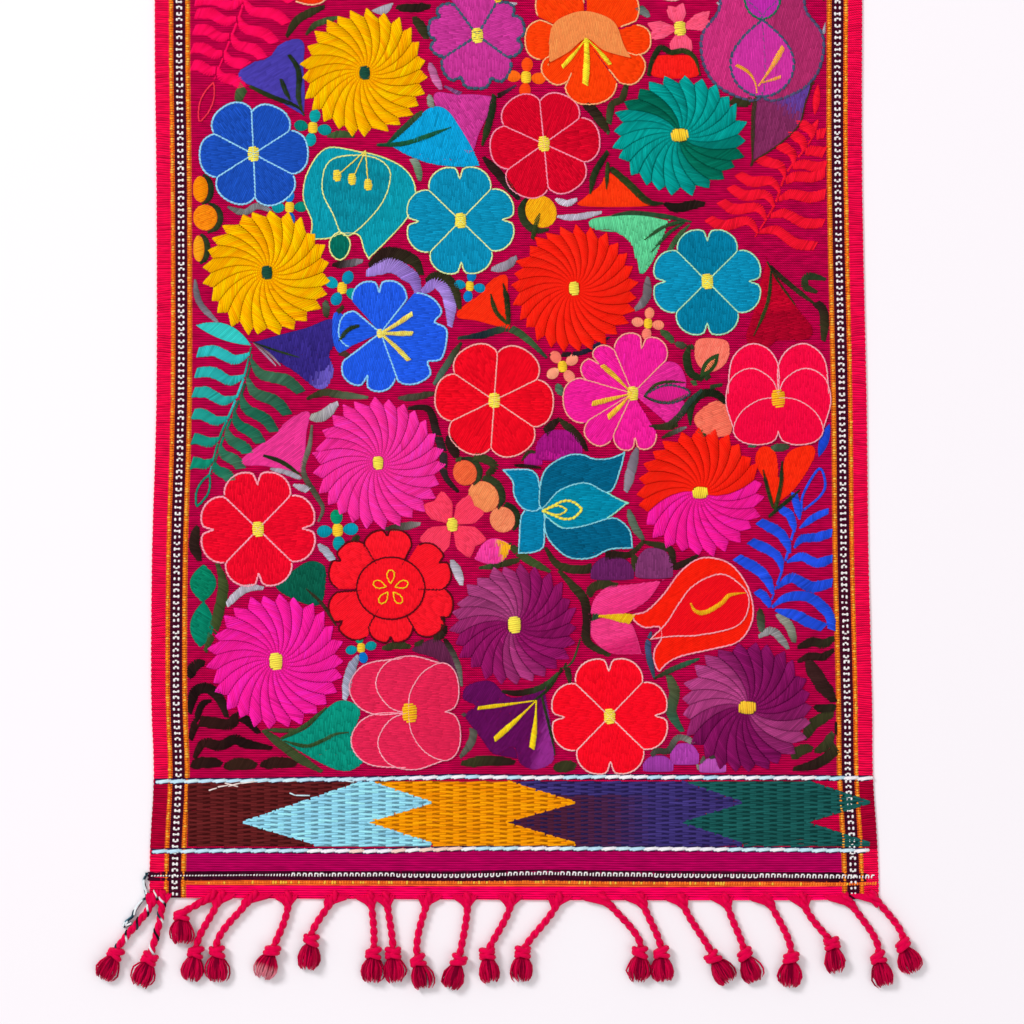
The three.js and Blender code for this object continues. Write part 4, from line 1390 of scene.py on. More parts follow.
stem([(163.3, 217.5), (164, 227), (173, 241.5), (176.5, 233), (173.5, 226), (164, 218)], 1.9, BLUE,
    (0.9, 0.9), over=True)
leaf(172.7, 248, 20, 5.5, 72, "1C44C4")

# Broad leaves.
shape_fill(72, 374, [(1, 0.45), (1, 0.45), (0, 0.65), (-1, 0.62), (-1.7, 0.5), (-1.75, 0.25), (-1.5, 0.1),
    (-1, 0.1), (-0.35, -0.3), (-0.12, -0.9), (0.06, -1.45), (0.45, -1), (0.8, -0.2)], "5CC88E", 100,
    size=16)
stem([(98, 381), (86, 378), (74, 370)], 2.6, "2E5030", (0.6, 0.3), over=True, level=0.5)
stem([(97, 380), (88, 374), (78, 363)], 2.2, "2E5030", (0.6, 0.3), over=True, level=0.5)
stem([(101, 380.5), (84, 384), (66, 385.5), (52, 383)], 3, "2C4A30", (0.5, 0.3))
stem([(100, 379), (92, 370), (84, 355)], 3.4, "3A5A38", (0.4, 0.5))
stem([(137.5, 451), (136, 436), (135.5, 415)], 2.6, "33331E", (0.8, 0.4), over=True, level=0.3)
leaf(170.5, 440.5, 18, 4.2, 84, "E8142E")
shape_fill(-118, 176, [(-1.1, -0.1), (-0.4, 0.6), (0.3, 1), (0.9, 0.8), (0.95, 0), (0.75, -0.8),
    (0, -0.75)], "0A5844", 100, size=13.4)
stem([(-116, 174), (-106.6, 165), (-99, 153)], 2.4, "3A3022", (0.4, 0.5), over=True, level=0.4)
shape_fill(0, 0, [(-131.3, 89), (-131.3, 89), (-116, 95), (-107, 104), (-98, 110.7), (-89.5, 109.6),
    (-85.7, 104), (-89.5, 91.3), (-86.5, 83), (-84.2, 76), (-92, 71), (-101, 72.4), (-113, 78.4)], "088C76",
    95)
stem([(-128.3, 88.3), (-116, 85.3), (-107, 88.3), (-99.4, 92), (-92, 93)], 2.8, "34502C", (0.5, 0.3),
    over=True, level=0.5)
stem([(-130, 89.5), (-116, 97), (-104, 107.5)], 3, "34502C", (0.6, 0.3), over=True, level=0.4)
stem([(-138, 94.6), (-128, 94), (-119, 94.6)], 2.8, "3C4A2A", (0.5, 0.3))
stem([(-140, 94.2), (-131.3, 87.3), (-119.2, 78), (-107, 70.8)], 5.6, "3C4A2A", (0.5, 0.4))
leaf(-174, 166.5, 21, 15, 90, "067C5C", blunt=1)
leaf(-175.5, 141, 26, 13.5, 86, "067A5E", blunt=0.9)
stem([(-166, 188), (-162.6, 176), (-166, 158), (-173, 138)], 6.5, "3C4A26", (0.4, 0.4))
shape_fill(0, 0, [(-56.2, 139.2), (-48, 144.6), (-40.3, 145), (-33.4, 136), (-30.4, 124.8), (-34.2, 127),
    (-43.3, 134.7)], "5C2244", 80, bands=two_tone("7A3A66", -41, 143, 90, 4))

# Dark stems, leaves and the grey ones that lace between the blooms.
DARK_STEMS = (
    ([(-127, 485), (-120, 495), (-105, 502)], 5, OLIVE, BARK),
    ([(-116, 486), (-110, 492), (-97, 496)], 3.8, MOSS, OLIVE),
    ([(-148.6, 461), (-152, 455), (-155.5, 448)], 6.5, OLIVE, MOSS),
    ([(-103.8, 429), (-96, 430), (-89, 428.5)], 4.5, MOSS, OLIVE),
    ([(-160, 389), (-151, 386), (-143, 389.5), (-134, 385.5)], 4.2, "6A7068", "7C7A80"),
    ([(-38, 457), (-25.7, 451.5), (-11, 450.5), (2.3, 457.4)], 3.6, BARK, "7A4A7A"),
    ([(-46, 470), (-43.5, 462), (-40, 455)], 5, "C46AA0", "8A5A78"),
    ([(-46.2, 452), (-45.5, 444)], 4.5, "8C8C80", OLIVE),
    ([(-55, 496), (-51, 490), (-48, 483)], 6, OLIVE, BARK),
    ([(-65, 501.5), (-55, 501), (-45.5, 502)], 5.5, BARK, OLIVE),
    ([(-16, 417), (-7, 407), (4, 393)], 5.6, BARK, "1E2420"),
    ([(39.6, 448), (46, 443), (54, 431)], 6.2, OLIVE, BARK),
    ([(65.2, 461), (62, 450), (56, 446), (54, 430)], 4.4, OLIVE, MOSS),
    ([(86, 391), (93, 388.5), (101, 390), (109, 390.5)], 6, BARK, "1E1814"),
    ([(24.7, 393.5), (31, 391), (37, 393.5)], 4.2, ASH, "C8C2D0"),
    ([(25.6, 383.6), (36, 383.2), (51, 386)], 4.2, "B4AEC0", ASH),
    ([(-57.5, 418.5), (-53.5, 412), (-52, 403.5)], 5, "5C7A5A", ASH),
    ([(-47.5, 373), (-46, 362)], 4.6, MOSS, OLIVE),
    ([(70, 503), (77, 496)], 5, "5A6A62", ASH),
    ([(121, 450.3), (130, 448), (137.5, 449)], 6, BARK, OLIVE),
    ([(143.8, 358), (145.5, 341), (141, 330), (134.5, 318.5)], 3.2, BARK, OLIVE),
    ([(143.8, 358), (151, 350), (163, 340), (171, 334)], 3.2, BARK, OLIVE),
    ([(171.8, 341), (165.3, 344), (166.5, 349.8), (177, 348)], 4.6, "2A3A22", OLIVE),
    ([(168, 337.3), (175.5, 330), (175.3, 313)], 5.6, OLIVE, BARK),
    ([(76.6, 349.5), (75.5, 338), (69, 330.8)], 5.4, "6A6468", "8A8288"),
    ([(84, 319.6), (88, 316), (91, 312)], 4.4, MOSS, OLIVE),
    ([(92.4, 312.5), (98.5, 309.5)], 4.4, "5C6A5A", OLIVE),
    ([(101.8, 311), (98.5, 300), (103.6, 287.8)], 5, MOSS, "2A4024"),
    ([(119.5, 302), (113, 298), (108.5, 291.5)], 5.4, "2A4024", OLIVE),
    ([(76.6, 265.4), (90.6, 266), (99.9, 278), (109.3, 286), (118.6, 289)], 4.6, OLIVE, "2A4024"),
    ([(105, 262.5), (116, 261)], 5, MOSS, OLIVE),
    ([(84.5, 259), (91, 262), (98.5, 265)], 3.2, OLIVE, ASH),
    ([(130, 257.5), (137, 254)], 4.6, "4A6A52", OLIVE),
    ([(146, 253.5), (156, 253.5)], 5, "4A6A52", OLIVE),
    ([(-80.5, 356), (-69.9, 363), (-56.2, 359), (-50.9, 350.8)], 7.5, "2C2A1A", BARK),
    ([(-82, 351.6), (-68.3, 356), (-56.2, 348.5), (-53, 340)], 9, LAVENDER, "8466B4"),
    ([(-48.5, 347.6), (-43, 350.5), (-34, 346), (-29.2, 331)], 5.6, "2C2A1A", OLIVE),
    ([(-51.5, 340), (-42.5, 346), (-35.5, 337), (-35, 321.5)], 7.4, "A286D2", "8A6CBC"),
    ([(-11.5, 354), (-3, 356), (3.2, 361)], 5.4, ASH, "7A7280"),
    ([(-30.4, 315), (-16.4, 317), (-2.4, 320.5), (7.9, 315), (19.5, 304)], 4.6, "3C5A34", "1C2A30"),
    ([(-28.5, 312.5), (-36, 301), (-44.4, 288.5)], 4.4, OLIVE, "4A6A5A"),
    ([(21, 305.6), (39.6, 307), (55.5, 316)], 3.2, "1E2438", BARK),
    ([(26.6, 289), (27, 283)], 5.6, "4A6A52", MOSS),
    ([(-64, 281.3), (-54, 282), (-43.5, 284)], 4.4, "4A4438", OLIVE),
    ([(-115.5, 281), (-106, 284.5), (-96, 283), (-81, 281.5)], 4.6, OLIVE, "5A6A50"),
    ([(-58.4, 275.7), (-47, 275), (-42.5, 262), (-38.8, 250), (-38, 238), (-30, 228)], 5, BARK,
        "30282A"),
    ([(-35.5, 260), (-31.5, 247.5)], 6.6, BARK, "201816"),
    ([(-31.5, 246.5), (-19, 248), (-10, 243), (-17, 236)], 5.4, "3C4A26", OLIVE),
    ([(-178.5, 348), (-176, 335), (-165, 323)], 4, "8A8690", "6A646C"),
    ([(-101, 356.5), (-93, 357), (-84, 358.5)], 5, ASH, BARK),
    ([(-104.5, 336), (-105, 326.5)], 4.6, "6A8A76", OLIVE),
    ([(-90, 304), (-99, 310), (-101, 324), (-95, 333)], 5.2, "4A342A", OLIVE),
    ([(-114.5, 271), (-106.6, 271.5), (-98, 278.5)], 6.6, "94988C", ASH),
    ([(-112.7, 266), (-114, 254.5), (-117.8, 240.5), (-110.3, 226.5), (-106.5, 219), (-109.5, 211)],
        3.6, "4A4A3A", "6A6A5C"),
    ([(-123, 232.5), (-114, 229), (-107, 223.5)], 4.6, "B8C0C4", ASH),
    ([(-136, 241.5), (-127, 239.5), (-117, 235)], 3.6, OLIVE, ASH),
    ([(-90, 202), (-86, 202)], 4.6, MOSS, OLIVE),
    ([(-108.8, 199), (-104, 194), (-99.5, 187.5)], 5, "9CA4B4", ASH),
    ([(-177, 209), (-179, 199), (-176, 189.5)], 6.4, BARK, "3A2A20"),
    ([(-140, 174.2), (-151, 173.5), (-163, 162.5)], 5, "B4B4C0", ASH),
    ([(-71.5, 207.5), (-61, 209), (-51, 210.5)], 4.8, "3A3428", "A8A0A0"),
    ([(-33.8, 190), (-31, 184), (-28.5, 176)], 5.6, "D4CCD8", ASH),
    ([(-86.5, 136), (-91.5, 126), (-94.5, 111)], 6, "AEB2C4", "8C92A6"),
    ([(-73, 140.4), (-65, 142), (-56.5, 141)], 4.8, OLIVE, MOSS),
    ([(-182, 124), (-179, 130), (-173, 132)], 6.6, BARK, "201414"),
    ([(26.6, 269.5), (19, 262), (14.4, 251)], 5.6, BARK, OLIVE),
    ([(26.6, 269.5), (36, 261), (42.4, 251.5)], 5, BARK, OLIVE),
    ([(1.4, 243.5), (9, 243), (16.5, 242)], 2.8, BARK, BARK),
    ([(5.5, 246), (9.8, 251), (14.4, 249.8)], 2.6, BARK, OLIVE),
    ([(70.6, 253), (67.6, 242.4), (63.8, 228)], 6, "6E6470", "8C8490"),
    ([(65.8, 218.5), (69, 209), (74.2, 201)], 4.8, "5A6A5A", OLIVE),
    ([(19, 197), (26.6, 187), (42.4, 185), (53.6, 192.5), (65.8, 193), (74.2, 200.5)], 5.4, BARK,
        OLIVE),
    ([(73.8, 200.6), (69.5, 194), (68.6, 183.5)], 4.4, BARK, OLIVE),
    ([(73.8, 200.3), (89, 196), (91.5, 186.5), (105.5, 193)], 4.6, BARK, OLIVE),
    ([(-2.4, 200), (7.9, 191), (21.5, 183.5)], 5, "3C4E28", OLIVE),
    ([(-18.5, 185.6), (-7, 187.5), (7.9, 191)], 4, "34502C", OLIVE),
    ([(26.6, 184), (34, 176), (40.6, 167.7), (42.4, 156), (42.4, 144), (55.5, 136)], 5.6, BARK, OLIVE),
    ([(41.5, 167.7), (47.1, 175.5), (59.5, 176)], 5.6, OLIVE, BARK),
    ([(42.4, 157), (49.5, 158.6)], 4.8, "2A5034", OLIVE),
    ([(-38.8, 157.5), (-39.7, 148), (-55.6, 142)], 5, OLIVE, BARK),
    ([(-39.7, 149), (-31.3, 133), (-28.3, 119)], 4, BARK, "6A6A60"),
    ([(-27.8, 103.5), (-22.8, 99), (-22.3, 89), (-29.3, 79)], 5, "4C4440", "5A5A50"),
    ([(-28.5, 75.6), (-14, 77), (2, 76)], 6.4, OLIVE, BARK),
    ([(23.8, 74), (36, 73.6)], 7, OLIVE, BARK),
    ([(-7.6, 116.7), (3.8, 115.2), (17.5, 118.7), (26.6, 127)], 4, "34502C", BARK),
    ([(28, 129), (34.2, 133.2), (38.8, 146.8)], 1.4, "34502C", BARK),
    ([(26.6, 126.3), (30.4, 130.5), (32.7, 120.2)], 3.8, OLIVE, BARK),
    ([(78.4, 149.5), (76.6, 139.7), (80, 124)], 4, "2A5048", "3A4A6A"),
    ([(105.5, 134.5), (91.5, 129), (79.4, 123)], 3.4, "2A5A42", OLIVE),
    ([(87.5, 127), (91.5, 116), (89.8, 104), (96, 93.5)], 6.4, "4A5236", "2A5A44"),
    ([(74.3, 72), (80.4, 82), (87.9, 82.6), (93.5, 90), (101.9, 86.5), (105, 72)], 4, "3A3A30",
        "8A8880"),
    ([(105.6, 74.8), (111.2, 80), (120, 71)], 3.4, "3A3A30", "8A8880"),
    ([(140, 162.5), (140.4, 149)], 5, "5E7060", OLIVE),
    ([(139, 147), (147, 150), (156, 139.5)], 5, "7A7A78", "9A989C"),
    ([(149.3, 159.5), (156, 153.2), (159, 143)], 5.4, "4E5A40", "8A8C80"),
    ([(161, 141), (169, 144), (176, 143), (182.5, 147)], 5.6, "2E3420", BARK),
    ([(183.2, 108.8), (182.4, 95), (183.4, 82)], 1.8, BARK, BARK),
    ([(161, 133), (168, 136), (175, 135.5), (182, 140)], 4.8, BARK, "3A1C1E"),
    ([(167, 134.5), (172, 124), (181.5, 110)], 8.5, "3A2020", BARK),
    ([(170.5, 107.8), (176, 106.2), (183.5, 107)], 5.6, "26301E", BARK),
    ([(164, 89), (170, 98), (181.5, 103.5)], 7, OLIVE, BARK),
    ([(157.5, 79), (163, 83), (169.4, 83.5)], 6.6, BARK, OLIVE),
    ([(170.6, 82.6), (177, 86), (181, 93)], 6, OLIVE, "4A4A34"),
    ([(158.5, 72.4), (172.8, 76), (183, 85.5), (182.5, 101)], 6.4, OLIVE, BARK),
    ([(-181.5, 104), (-179, 115), (-172, 118), (-165, 112.5), (-160.5, 101)], 6.4, BARK, "201212"),
    ([(-178, 99), (-175, 108), (-169.5, 111)], 4.4, BARK, "201212"),
    ([(-181, 89), (-177.6, 98.5), (-169.2, 98.5), (-159.8, 97.5), (-152.4, 101.5), (-142.5, 92.5)], 6.8,
        "301816", "201212"),
    ([(-179, 78.5), (-173.8, 87), (-164.5, 85.5), (-156.1, 89), (-149.6, 86.5), (-135.3, 84)], 6.2,
        "301816", "201212"),
    ([(-181.5, 75.2), (-172, 76), (-163.5, 75)], 7, "301A16", "241414"),
    ([(-162, 74.3), (-153, 75.2), (-144, 74)], 7.4, "342018", "241414"),
    ([(-141.5, 75.2), (-131.5, 76), (-121.5, 75)], 7, "301A16", "241414"),
)
for points, width, colour, other in DARK_STEMS:
    stem(points, width, colour, (0.45, 0.45), other)

# Fine dark veins and stalks that lie over the blooms and bells.
FINE_STEMS = (
    ([(-125.5, 474.6), (-120.2, 465.5), (-120.2, 450.3), (-117.2, 440.4)], 3.8),
    ([(-147.6, 457), (-136.9, 451.8), (-121.7, 445.7), (-117.2, 441)], 3),
    ([(-130, 461), (-127.8, 454.8), (-124.8, 448.8)], 3.4),
    ([(-2, 323), (-3, 337), (-5, 346)], 3.6),
    ([(-2.5, 323), (-9, 330), (-12, 340)], 3.2),
    ([(-10, 452), (-12, 440), (-17, 423)], 4.4),
    ([(-86, 322), (-92, 320), (-98, 313)], 3.2),
    ([(146, 353), (144, 335), (136, 316)], 2.6),
    ([(143.8, 358), (150, 347), (160, 333)], 1.8),
    ([(147, 219.5), (143.9, 231), (141.4, 241)], 2.6),
    ([(148, 218), (151.4, 232), (152.2, 246)], 3),
    ([(144.7, 214.6), (154.5, 222.8), (162.7, 230)], 2.6),
    ([(11.5, 371), (13.5, 379), (16, 386)], 3.4),
    ([(54, 420), (46.5, 407.7), (44, 396)], 4),
    ([(54, 414), (53.2, 398.6)], 2.8),
    ([(55.5, 411), (66, 401.6), (76.7, 391.8), (86, 391)], 4.6),
    ([(76.9, 463), (78.9, 471), (83.6, 478.7), (89.7, 476), (97, 477), (103, 472.6), (106, 463)], 3.6),
    ([(16.7, 113.4), (22, 92), (24.3, 80)], 2.2),
    ([(11.4, 110.4), (20, 117), (28, 128.6)], 2.2),
    ([(74.4, 282.4), (80.5, 288.5), (88, 290.5), (98, 290)], 2.4),
    ([(74.4, 282.4), (82, 279.4), (90, 279.4), (99, 284)], 2.4),
    ([(-145.5, 312.5), (-131, 307.5), (-119, 304)], 1.8),
    ([(-140, 249), (-130, 245.5), (-119, 238)], 3),
)
for points, width in FINE_STEMS:
    stem(points, width, "33441F", (0.7, 0.3), "22301C", over=True, level=0.55)
for shift in (0, 2.6):
    stem([(-145.5, 312.5), (-139 + shift, 306), (-132.5 + shift, 299)], 1.8, "B4A0B8", (0.6, 0.3), "6A4A44",
        over=True, level=0.55)

# The middle of the runner: more of the same blooms up to the line where the halves meet.
pinwheel(-35, 547, 37, "7C1264", dye=sector_dye("A03A7E", (60, 35)))
pinwheel(150, 549, 32, YELLOW, "1F5140", 7.5)
pinwheel(-146, 600, 33, TEAL)
pinwheel(8, 612, 34, PINK, eye=7.5)
petalled(-111, 533, [30, 31, 30, 31, 30, 31], "F4380E", "FFB08A", turn=20)
petalled(37, 549, [31] * 4, "0688B2", "D6E8A0", heart_petal, turn=10)
petalled(94, 532, [27] * 6, "E40A20", "FFA6A0", turn=12)
petalled(82, 604, [33] * 5, "1D50D8", "84C4F0", heart_petal, turn=20, line_width=1.1)
pansy(-72, 606, 32, "F20A40", "FFA4B0", 0)
petalled(150, 617, [29] * 6, "E81E94", "FFA08C", turn=5)
fern([(-178, 560), (-166, 549), (-152, 541)], "0A8062", leaves=4, longest=14, opened=(70, 60), width=5.5)
bell(118, 571, 30, 30, 110, "BC2C90")
for x, d, turn in ((-112, 572, 35), (-3, 580, 120), (-70, 568, 170), (64, 574, 15), (120, 548, 60),
        (40, 584, 80), (115, 630, 100), (-104, 628, 60), (-38, 596, 75), (40, 637, 20), (-178, 636, 30),
        (64, 512, 100), (0, 511, 20), (112, 511, 160), (-70, 511, 40), (176, 586, 95), (-112, 592, 140),
        (176, 505, 88), (45, 596, 60), (-37, 636, 10), (-170, 520, 60)):
    leaf(x, d, 17, 6.5, turn, OLIVE, bend=2.5, slant=70)
    leaf(x + 3, d - 7, 13, 5, turn + 160, ASH, bend=2, slant=70)
little_flower(-73, 529, ("0A86A8", "0A9AAE", "0A86A8", "06948A"), turn=40)
little_flower(118, 590, ("FC8C6C", "FA9474", "F8806A", "FC8A6C"), turn=60)
little_flower(-8, 507, ("F84A12", "FA6A14", "F64410", "FC5A10"), turn=30)



def sew_beds(name, end):
    """The padding of every satin shape, as one thin layer under the stitches, darkened as painted shade."""
    counts = [len(points) for points, *_ in beds]
    shifts = np.concatenate([[0], np.cumsum(counts)[:-1]])
    flat = np.concatenate([points for points, *_ in beds]) * (-end, -end) + (0, end * HALF_LENGTH)
    level = np.repeat([level for *_, level in beds], counts)
    tints = np.repeat([tint for _, _, tint, _ in beds], counts, axis=0)
    faces = np.concatenate([corners + shift for (_, corners, *_), shift in zip(beds, shifts)])
    height = CLOTH_TOP + BED_LIFT + level
    wide = HALF_WIDTH_FLAT + 6
    spread = (flat * (1, -end) + (wide, HALF_LENGTH)) / (2 * wide, HALF_LENGTH)
    piece = mesh_piece(name, np.column_stack([flat, height]), faces, flower_thread,
                       (("strand", flat), ("OFBake", 0.005 + 0.99 * spread)), tints)
    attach(piece, "root")


flower_thread = thread_material("flower_thread", 0.4, 0.35)
for end, side in ((-1, "near"), (1, "far")):
    sew_beds(f"satin_shade_padding_{side}", end)
    for kind in KINDS:
        threads = np.concatenate(laid[kind])
        threads[:, [1, 3]] -= HALF_LENGTH
        threads[:, :4] *= -end
        sew(f"{kind}_{side}", threads, flower_thread)

# --------------------------------------
# The fringe. At each end the warp is gathered into bundles and plied by hand into cords, each
# closed by a fat overhand knot over a short tassel of fine yarn. All lie flat as they fell.
CORD_PLY = 1.28
CORD_TURN = 9.6
CORD_POINTS = 44
CORD_LIES_AT = 2.35
CORD_INSIDE = 4.0
PLY_OFFSET = 0.95
GROOVE_OFFSET = 1.75
GROOVE_PATCH = 3.1
ROOT_GATHER = (-2.5, -0.6, 1.8, 5.0)
TASSEL_STRANDS = 40
TASSEL_STEPS = np.array([0.0, 0.2, 0.42, 0.66, 0.86, 1.0])
TASSEL_SWELL = np.array([1.9, 3.7, 5.0, 5.5, 4.9, 3.7])
TASSEL_FILLING = np.array([[1.6, 2.5, 3.0, 3.0, 2.4, 0.6]])
STRAND_RADII = np.array([[0.4, 0.5, 0.52, 0.5, 0.45, 0.2]])
TASSEL_SHADING = np.array([0.7, 0.95, 1.05, 1.0, 1.0, 1.2])[None, :, None]
STRIP_SIDE = 205.5
KNOT_RADIUS = 3.1
KNOT_HEIGHT = 3.5
# Each cord at the near end: where its root and its knot lie across the cloth, how far out its
# knot is, how much it bows, and where its tassel ends, across and out.
NEAR_CORDS = (
    (-200, -223, 31, 1, -230, 45), (-197, -204, 34, 3, -210, 50), (-167, -186, 9, -1, -186, 21),
    (-163, -178, 30, -3, -181, 47), (-144, -166, 30, -9, -166, 47), (-126, -135, 29, 4, -141, 47),
    (-99, -113, 23, -4, -115, 37), (-80, -78, 30, 2, -79, 47), (-71, -67, 30, 1, -66, 45),
    (-46, -53, 34, -5, -50, 48), (-25, -30, 34, 2, -34, 48), (0, -14, 30, 3, -12, 47),
    (27, 6, 29, 2, 6, 46), (50, 72, 29, 9, 71, 46), (72, 84, 29, 2, 86, 46), (95, 113, 32, -1, 122, 46),
    (120, 131, 30, 0, 136, 44), (143, 157, 32, 5, 156, 48), (164, 180, 24, -5, 182, 37),
    (187, 206, 32, 8, 210, 46), (202, 220, 26, 7, 226, 41),
)
FAR_CORDS = [(root, root + lean, 31, lean / 2, root + 1.5 * lean, 48)
             for root, lean in ((20 * i - 200, 4 * math.sin(2.4 * i)) for i in range(21))]


def beyond(x, out, end, root):
    """A place on the table: out is how far it lies past the cloth's end edge at the cord's root."""
    bow = np.interp(np.asarray(root) * -end, END_BOW_AT, END_BOW)
    return np.stack(np.broadcast_arrays(x, end * (HALF_LENGTH + bow + out)), -1)


def unit(vectors):
    return vectors / np.linalg.norm(vectors, axis=-1, keepdims=True)


def tubes(paths, radii, tints, sides, pole=(0.0, 0.0, 1.0)):
    """Round strands along many paths at once, as points, faces, colours, strand coordinates and their count.
    """
    count, steps = paths.shape[:2]
    along = unit(np.gradient(paths, axis=1))
    side = unit(np.cross(along, pole))
    up = np.cross(side, along)
    angle = (-0.5 * math.pi + np.arange(sides) / sides * 2 * math.pi)[:, None]
    thick = np.broadcast_to(radii, (count, steps))[..., None, None]
    ring = paths[:, :, None] + thick * (side[:, :, None] * np.cos(angle) + up[:, :, None] * np.sin(angle))
    tube, step, corner = np.meshgrid(np.arange(count), np.arange(steps - 1), np.arange(sides), indexing="ij")
    a = ((tube * steps + step) * sides + corner).ravel()
    b = ((tube * steps + step) * sides + (corner + 1) % sides).ravel()
    faces = np.stack([a, b, b + sides, a + sides], 1)
    run = np.cumsum(np.linalg.norm(np.diff(paths, axis=1, prepend=paths[:, :1]), axis=2), axis=1)
    run = run + np.random.default_rng(count).uniform(0, 90, (count, 1))
    around = np.broadcast_to(angle[:, 0] * 1.2, (count, steps, sides))
    strand = np.stack([around, np.broadcast_to(run[..., None], around.shape)], -1)
    colours = np.broadcast_to(np.asarray(tints)[:, :, None, :], (count, steps, sides, 3))
    return ring.reshape(-1, 3), faces, colours.reshape(-1, 3), strand.reshape(-1, 2), count


fringe_cotton = thread_material("fringe_cotton", 0.5, 0.3)


def join_tubes(name, parts, node):
    """One piece from several sets of tubes; each tube keeps a place of its own in the colour map."""
    cells = int(math.ceil(math.sqrt(sum(part[4] for part in parts))))
    shift, first = 0, 0
    all_faces, places = [], []
    for points, faces, _, _, count in parts:
        all_faces.append(faces + shift)
        shift += len(points)
        within = np.linspace(0, 1, len(points) // count)
        cell = first + np.repeat(np.arange(count), len(within))
        within = np.tile(within, count)
        places.append(np.stack([(cell % cells + 0.2 + 0.6 * (within * 7 % 1)) / cells,
                                (cell // cells + 0.2 + 0.6 * within) / cells], 1))
        first += count
    points, colours, strand = (np.concatenate([part[k] for part in parts]) for k in (0, 2, 3))
    piece = mesh_piece(name, points, np.concatenate(all_faces), fringe_cotton,
                       (("strand", strand), ("OFBake", np.concatenate(places))), colours)
    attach(piece, "root")
    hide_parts(node)


def cord_path(cords, end):
    """The middle of each cord: out of the strip, bowed to its side, and into its knot."""
    root, knot, out, bow = (cords[:, i:i + 1] for i in range(4))
    t = np.linspace(0, 1, CORD_POINTS)[None, :]
    # A cord leaves the cloth straight and then leans over to where its knot lies.
    sway = 0.35 * t + 0.65 * t * t * (3 - 2 * t)
    x = root + (knot - root) * sway + 2 * t * (1 - t) * bow
    reach = (1 - t) ** 2 * -CORD_INSIDE + 2 * t * (1 - t) * out / 2 + t ** 2 * out
    flat = beyond(x, reach, end, root)
    height = np.interp(reach, (-CORD_INSIDE, -1, 2), (1.5, 2.7, CORD_LIES_AT))
    return np.concatenate([flat, height[..., None]], 2)


def plies(path, phase, offset):
    """A strand that winds round a cord's middle."""
    along = unit(np.gradient(path, axis=1))
    side = unit(np.cross(along, (0, 0, 1.0)))
    up = np.cross(side, along)
    run = np.cumsum(np.linalg.norm(np.diff(path, axis=1, prepend=path[:, :1]), axis=2), axis=1)
    turn = (run / CORD_TURN * 2 * math.pi + phase)[..., None]
    return path + offset * (side * np.cos(turn) + up * np.sin(turn) * 0.85), run


def cords_of(cords, end, yarn):
    """Two plies a cord; in the first two near cords a black and white yarn lies in the groove."""
    path = cord_path(cords, end)
    draw = np.random.default_rng(300 + end)
    parts = []
    start = draw.uniform(0, 6.28, (len(cords), 1))
    for ply in (0, 1):
        strand, run = plies(path, start + ply * math.pi, PLY_OFFSET)
        tints = yarn * draw.uniform(0.9, 1.1, (len(cords), CORD_POINTS, 1))
        parts.append(tubes(strand, CORD_PLY, tints, 7))
    if end < 0:
        strand, run = plies(path[:2], start[:2] + math.pi / 2, GROOVE_OFFSET)
        shades = np.array([linear(c) for c in ("E8F0F0", "10141A", "24303E", "DCE8EC", "14161E")])
        pick = (run / GROOVE_PATCH).astype(int) * np.array([[1], [3]]) % 5
        shown = np.interp(run, (0, 6, 10), (0.3, 0.75, 0.75))
        parts.append(tubes(strand, shown, shades[pick], 5))
    return parts


def roots_of(cords, end, yarn):
    """Where the strip's warp gathers into each cord: long slanting threads, more from the left."""
    draw = np.random.default_rng(310 + end)
    root = cords[:, :1]
    path = cord_path(cords, end)
    past = (path[..., 1] - beyond(root, 0, end, root)[..., 1]) * end
    gathered = np.array([np.interp(ROOT_GATHER, out, x) for out, x in zip(past, path[..., 0])])
    parts = []
    for hand, reach, count in ((-1, 8.5, 6), (1, 5.5, 4)):
        for number in range(count):
            share = (number + 0.4) / count
            far = hand * reach * share
            x = gathered + far * np.array([[1.1, 0.86, 0.42, 0.1]])
            x[:, :2] += (root - gathered[:, 2:3])
            x = np.clip(x, -STRIP_SIDE, STRIP_SIDE)
            out = np.array(ROOT_GATHER) + draw.normal(0, 0.12, (len(cords), 4))
            height = np.broadcast_to(np.array([1.6, 2.2, 2.3, 2.2]), x.shape)
            way = np.concatenate([beyond(x, out, end, root), height[..., None]], 2)
            tints = yarn * draw.uniform(0.9, 1.08, (len(cords), 4, 1))
            parts.append(tubes(way, np.array([[0.5, 1.05, 1.05, 0.8]]), tints, 5))
    return parts


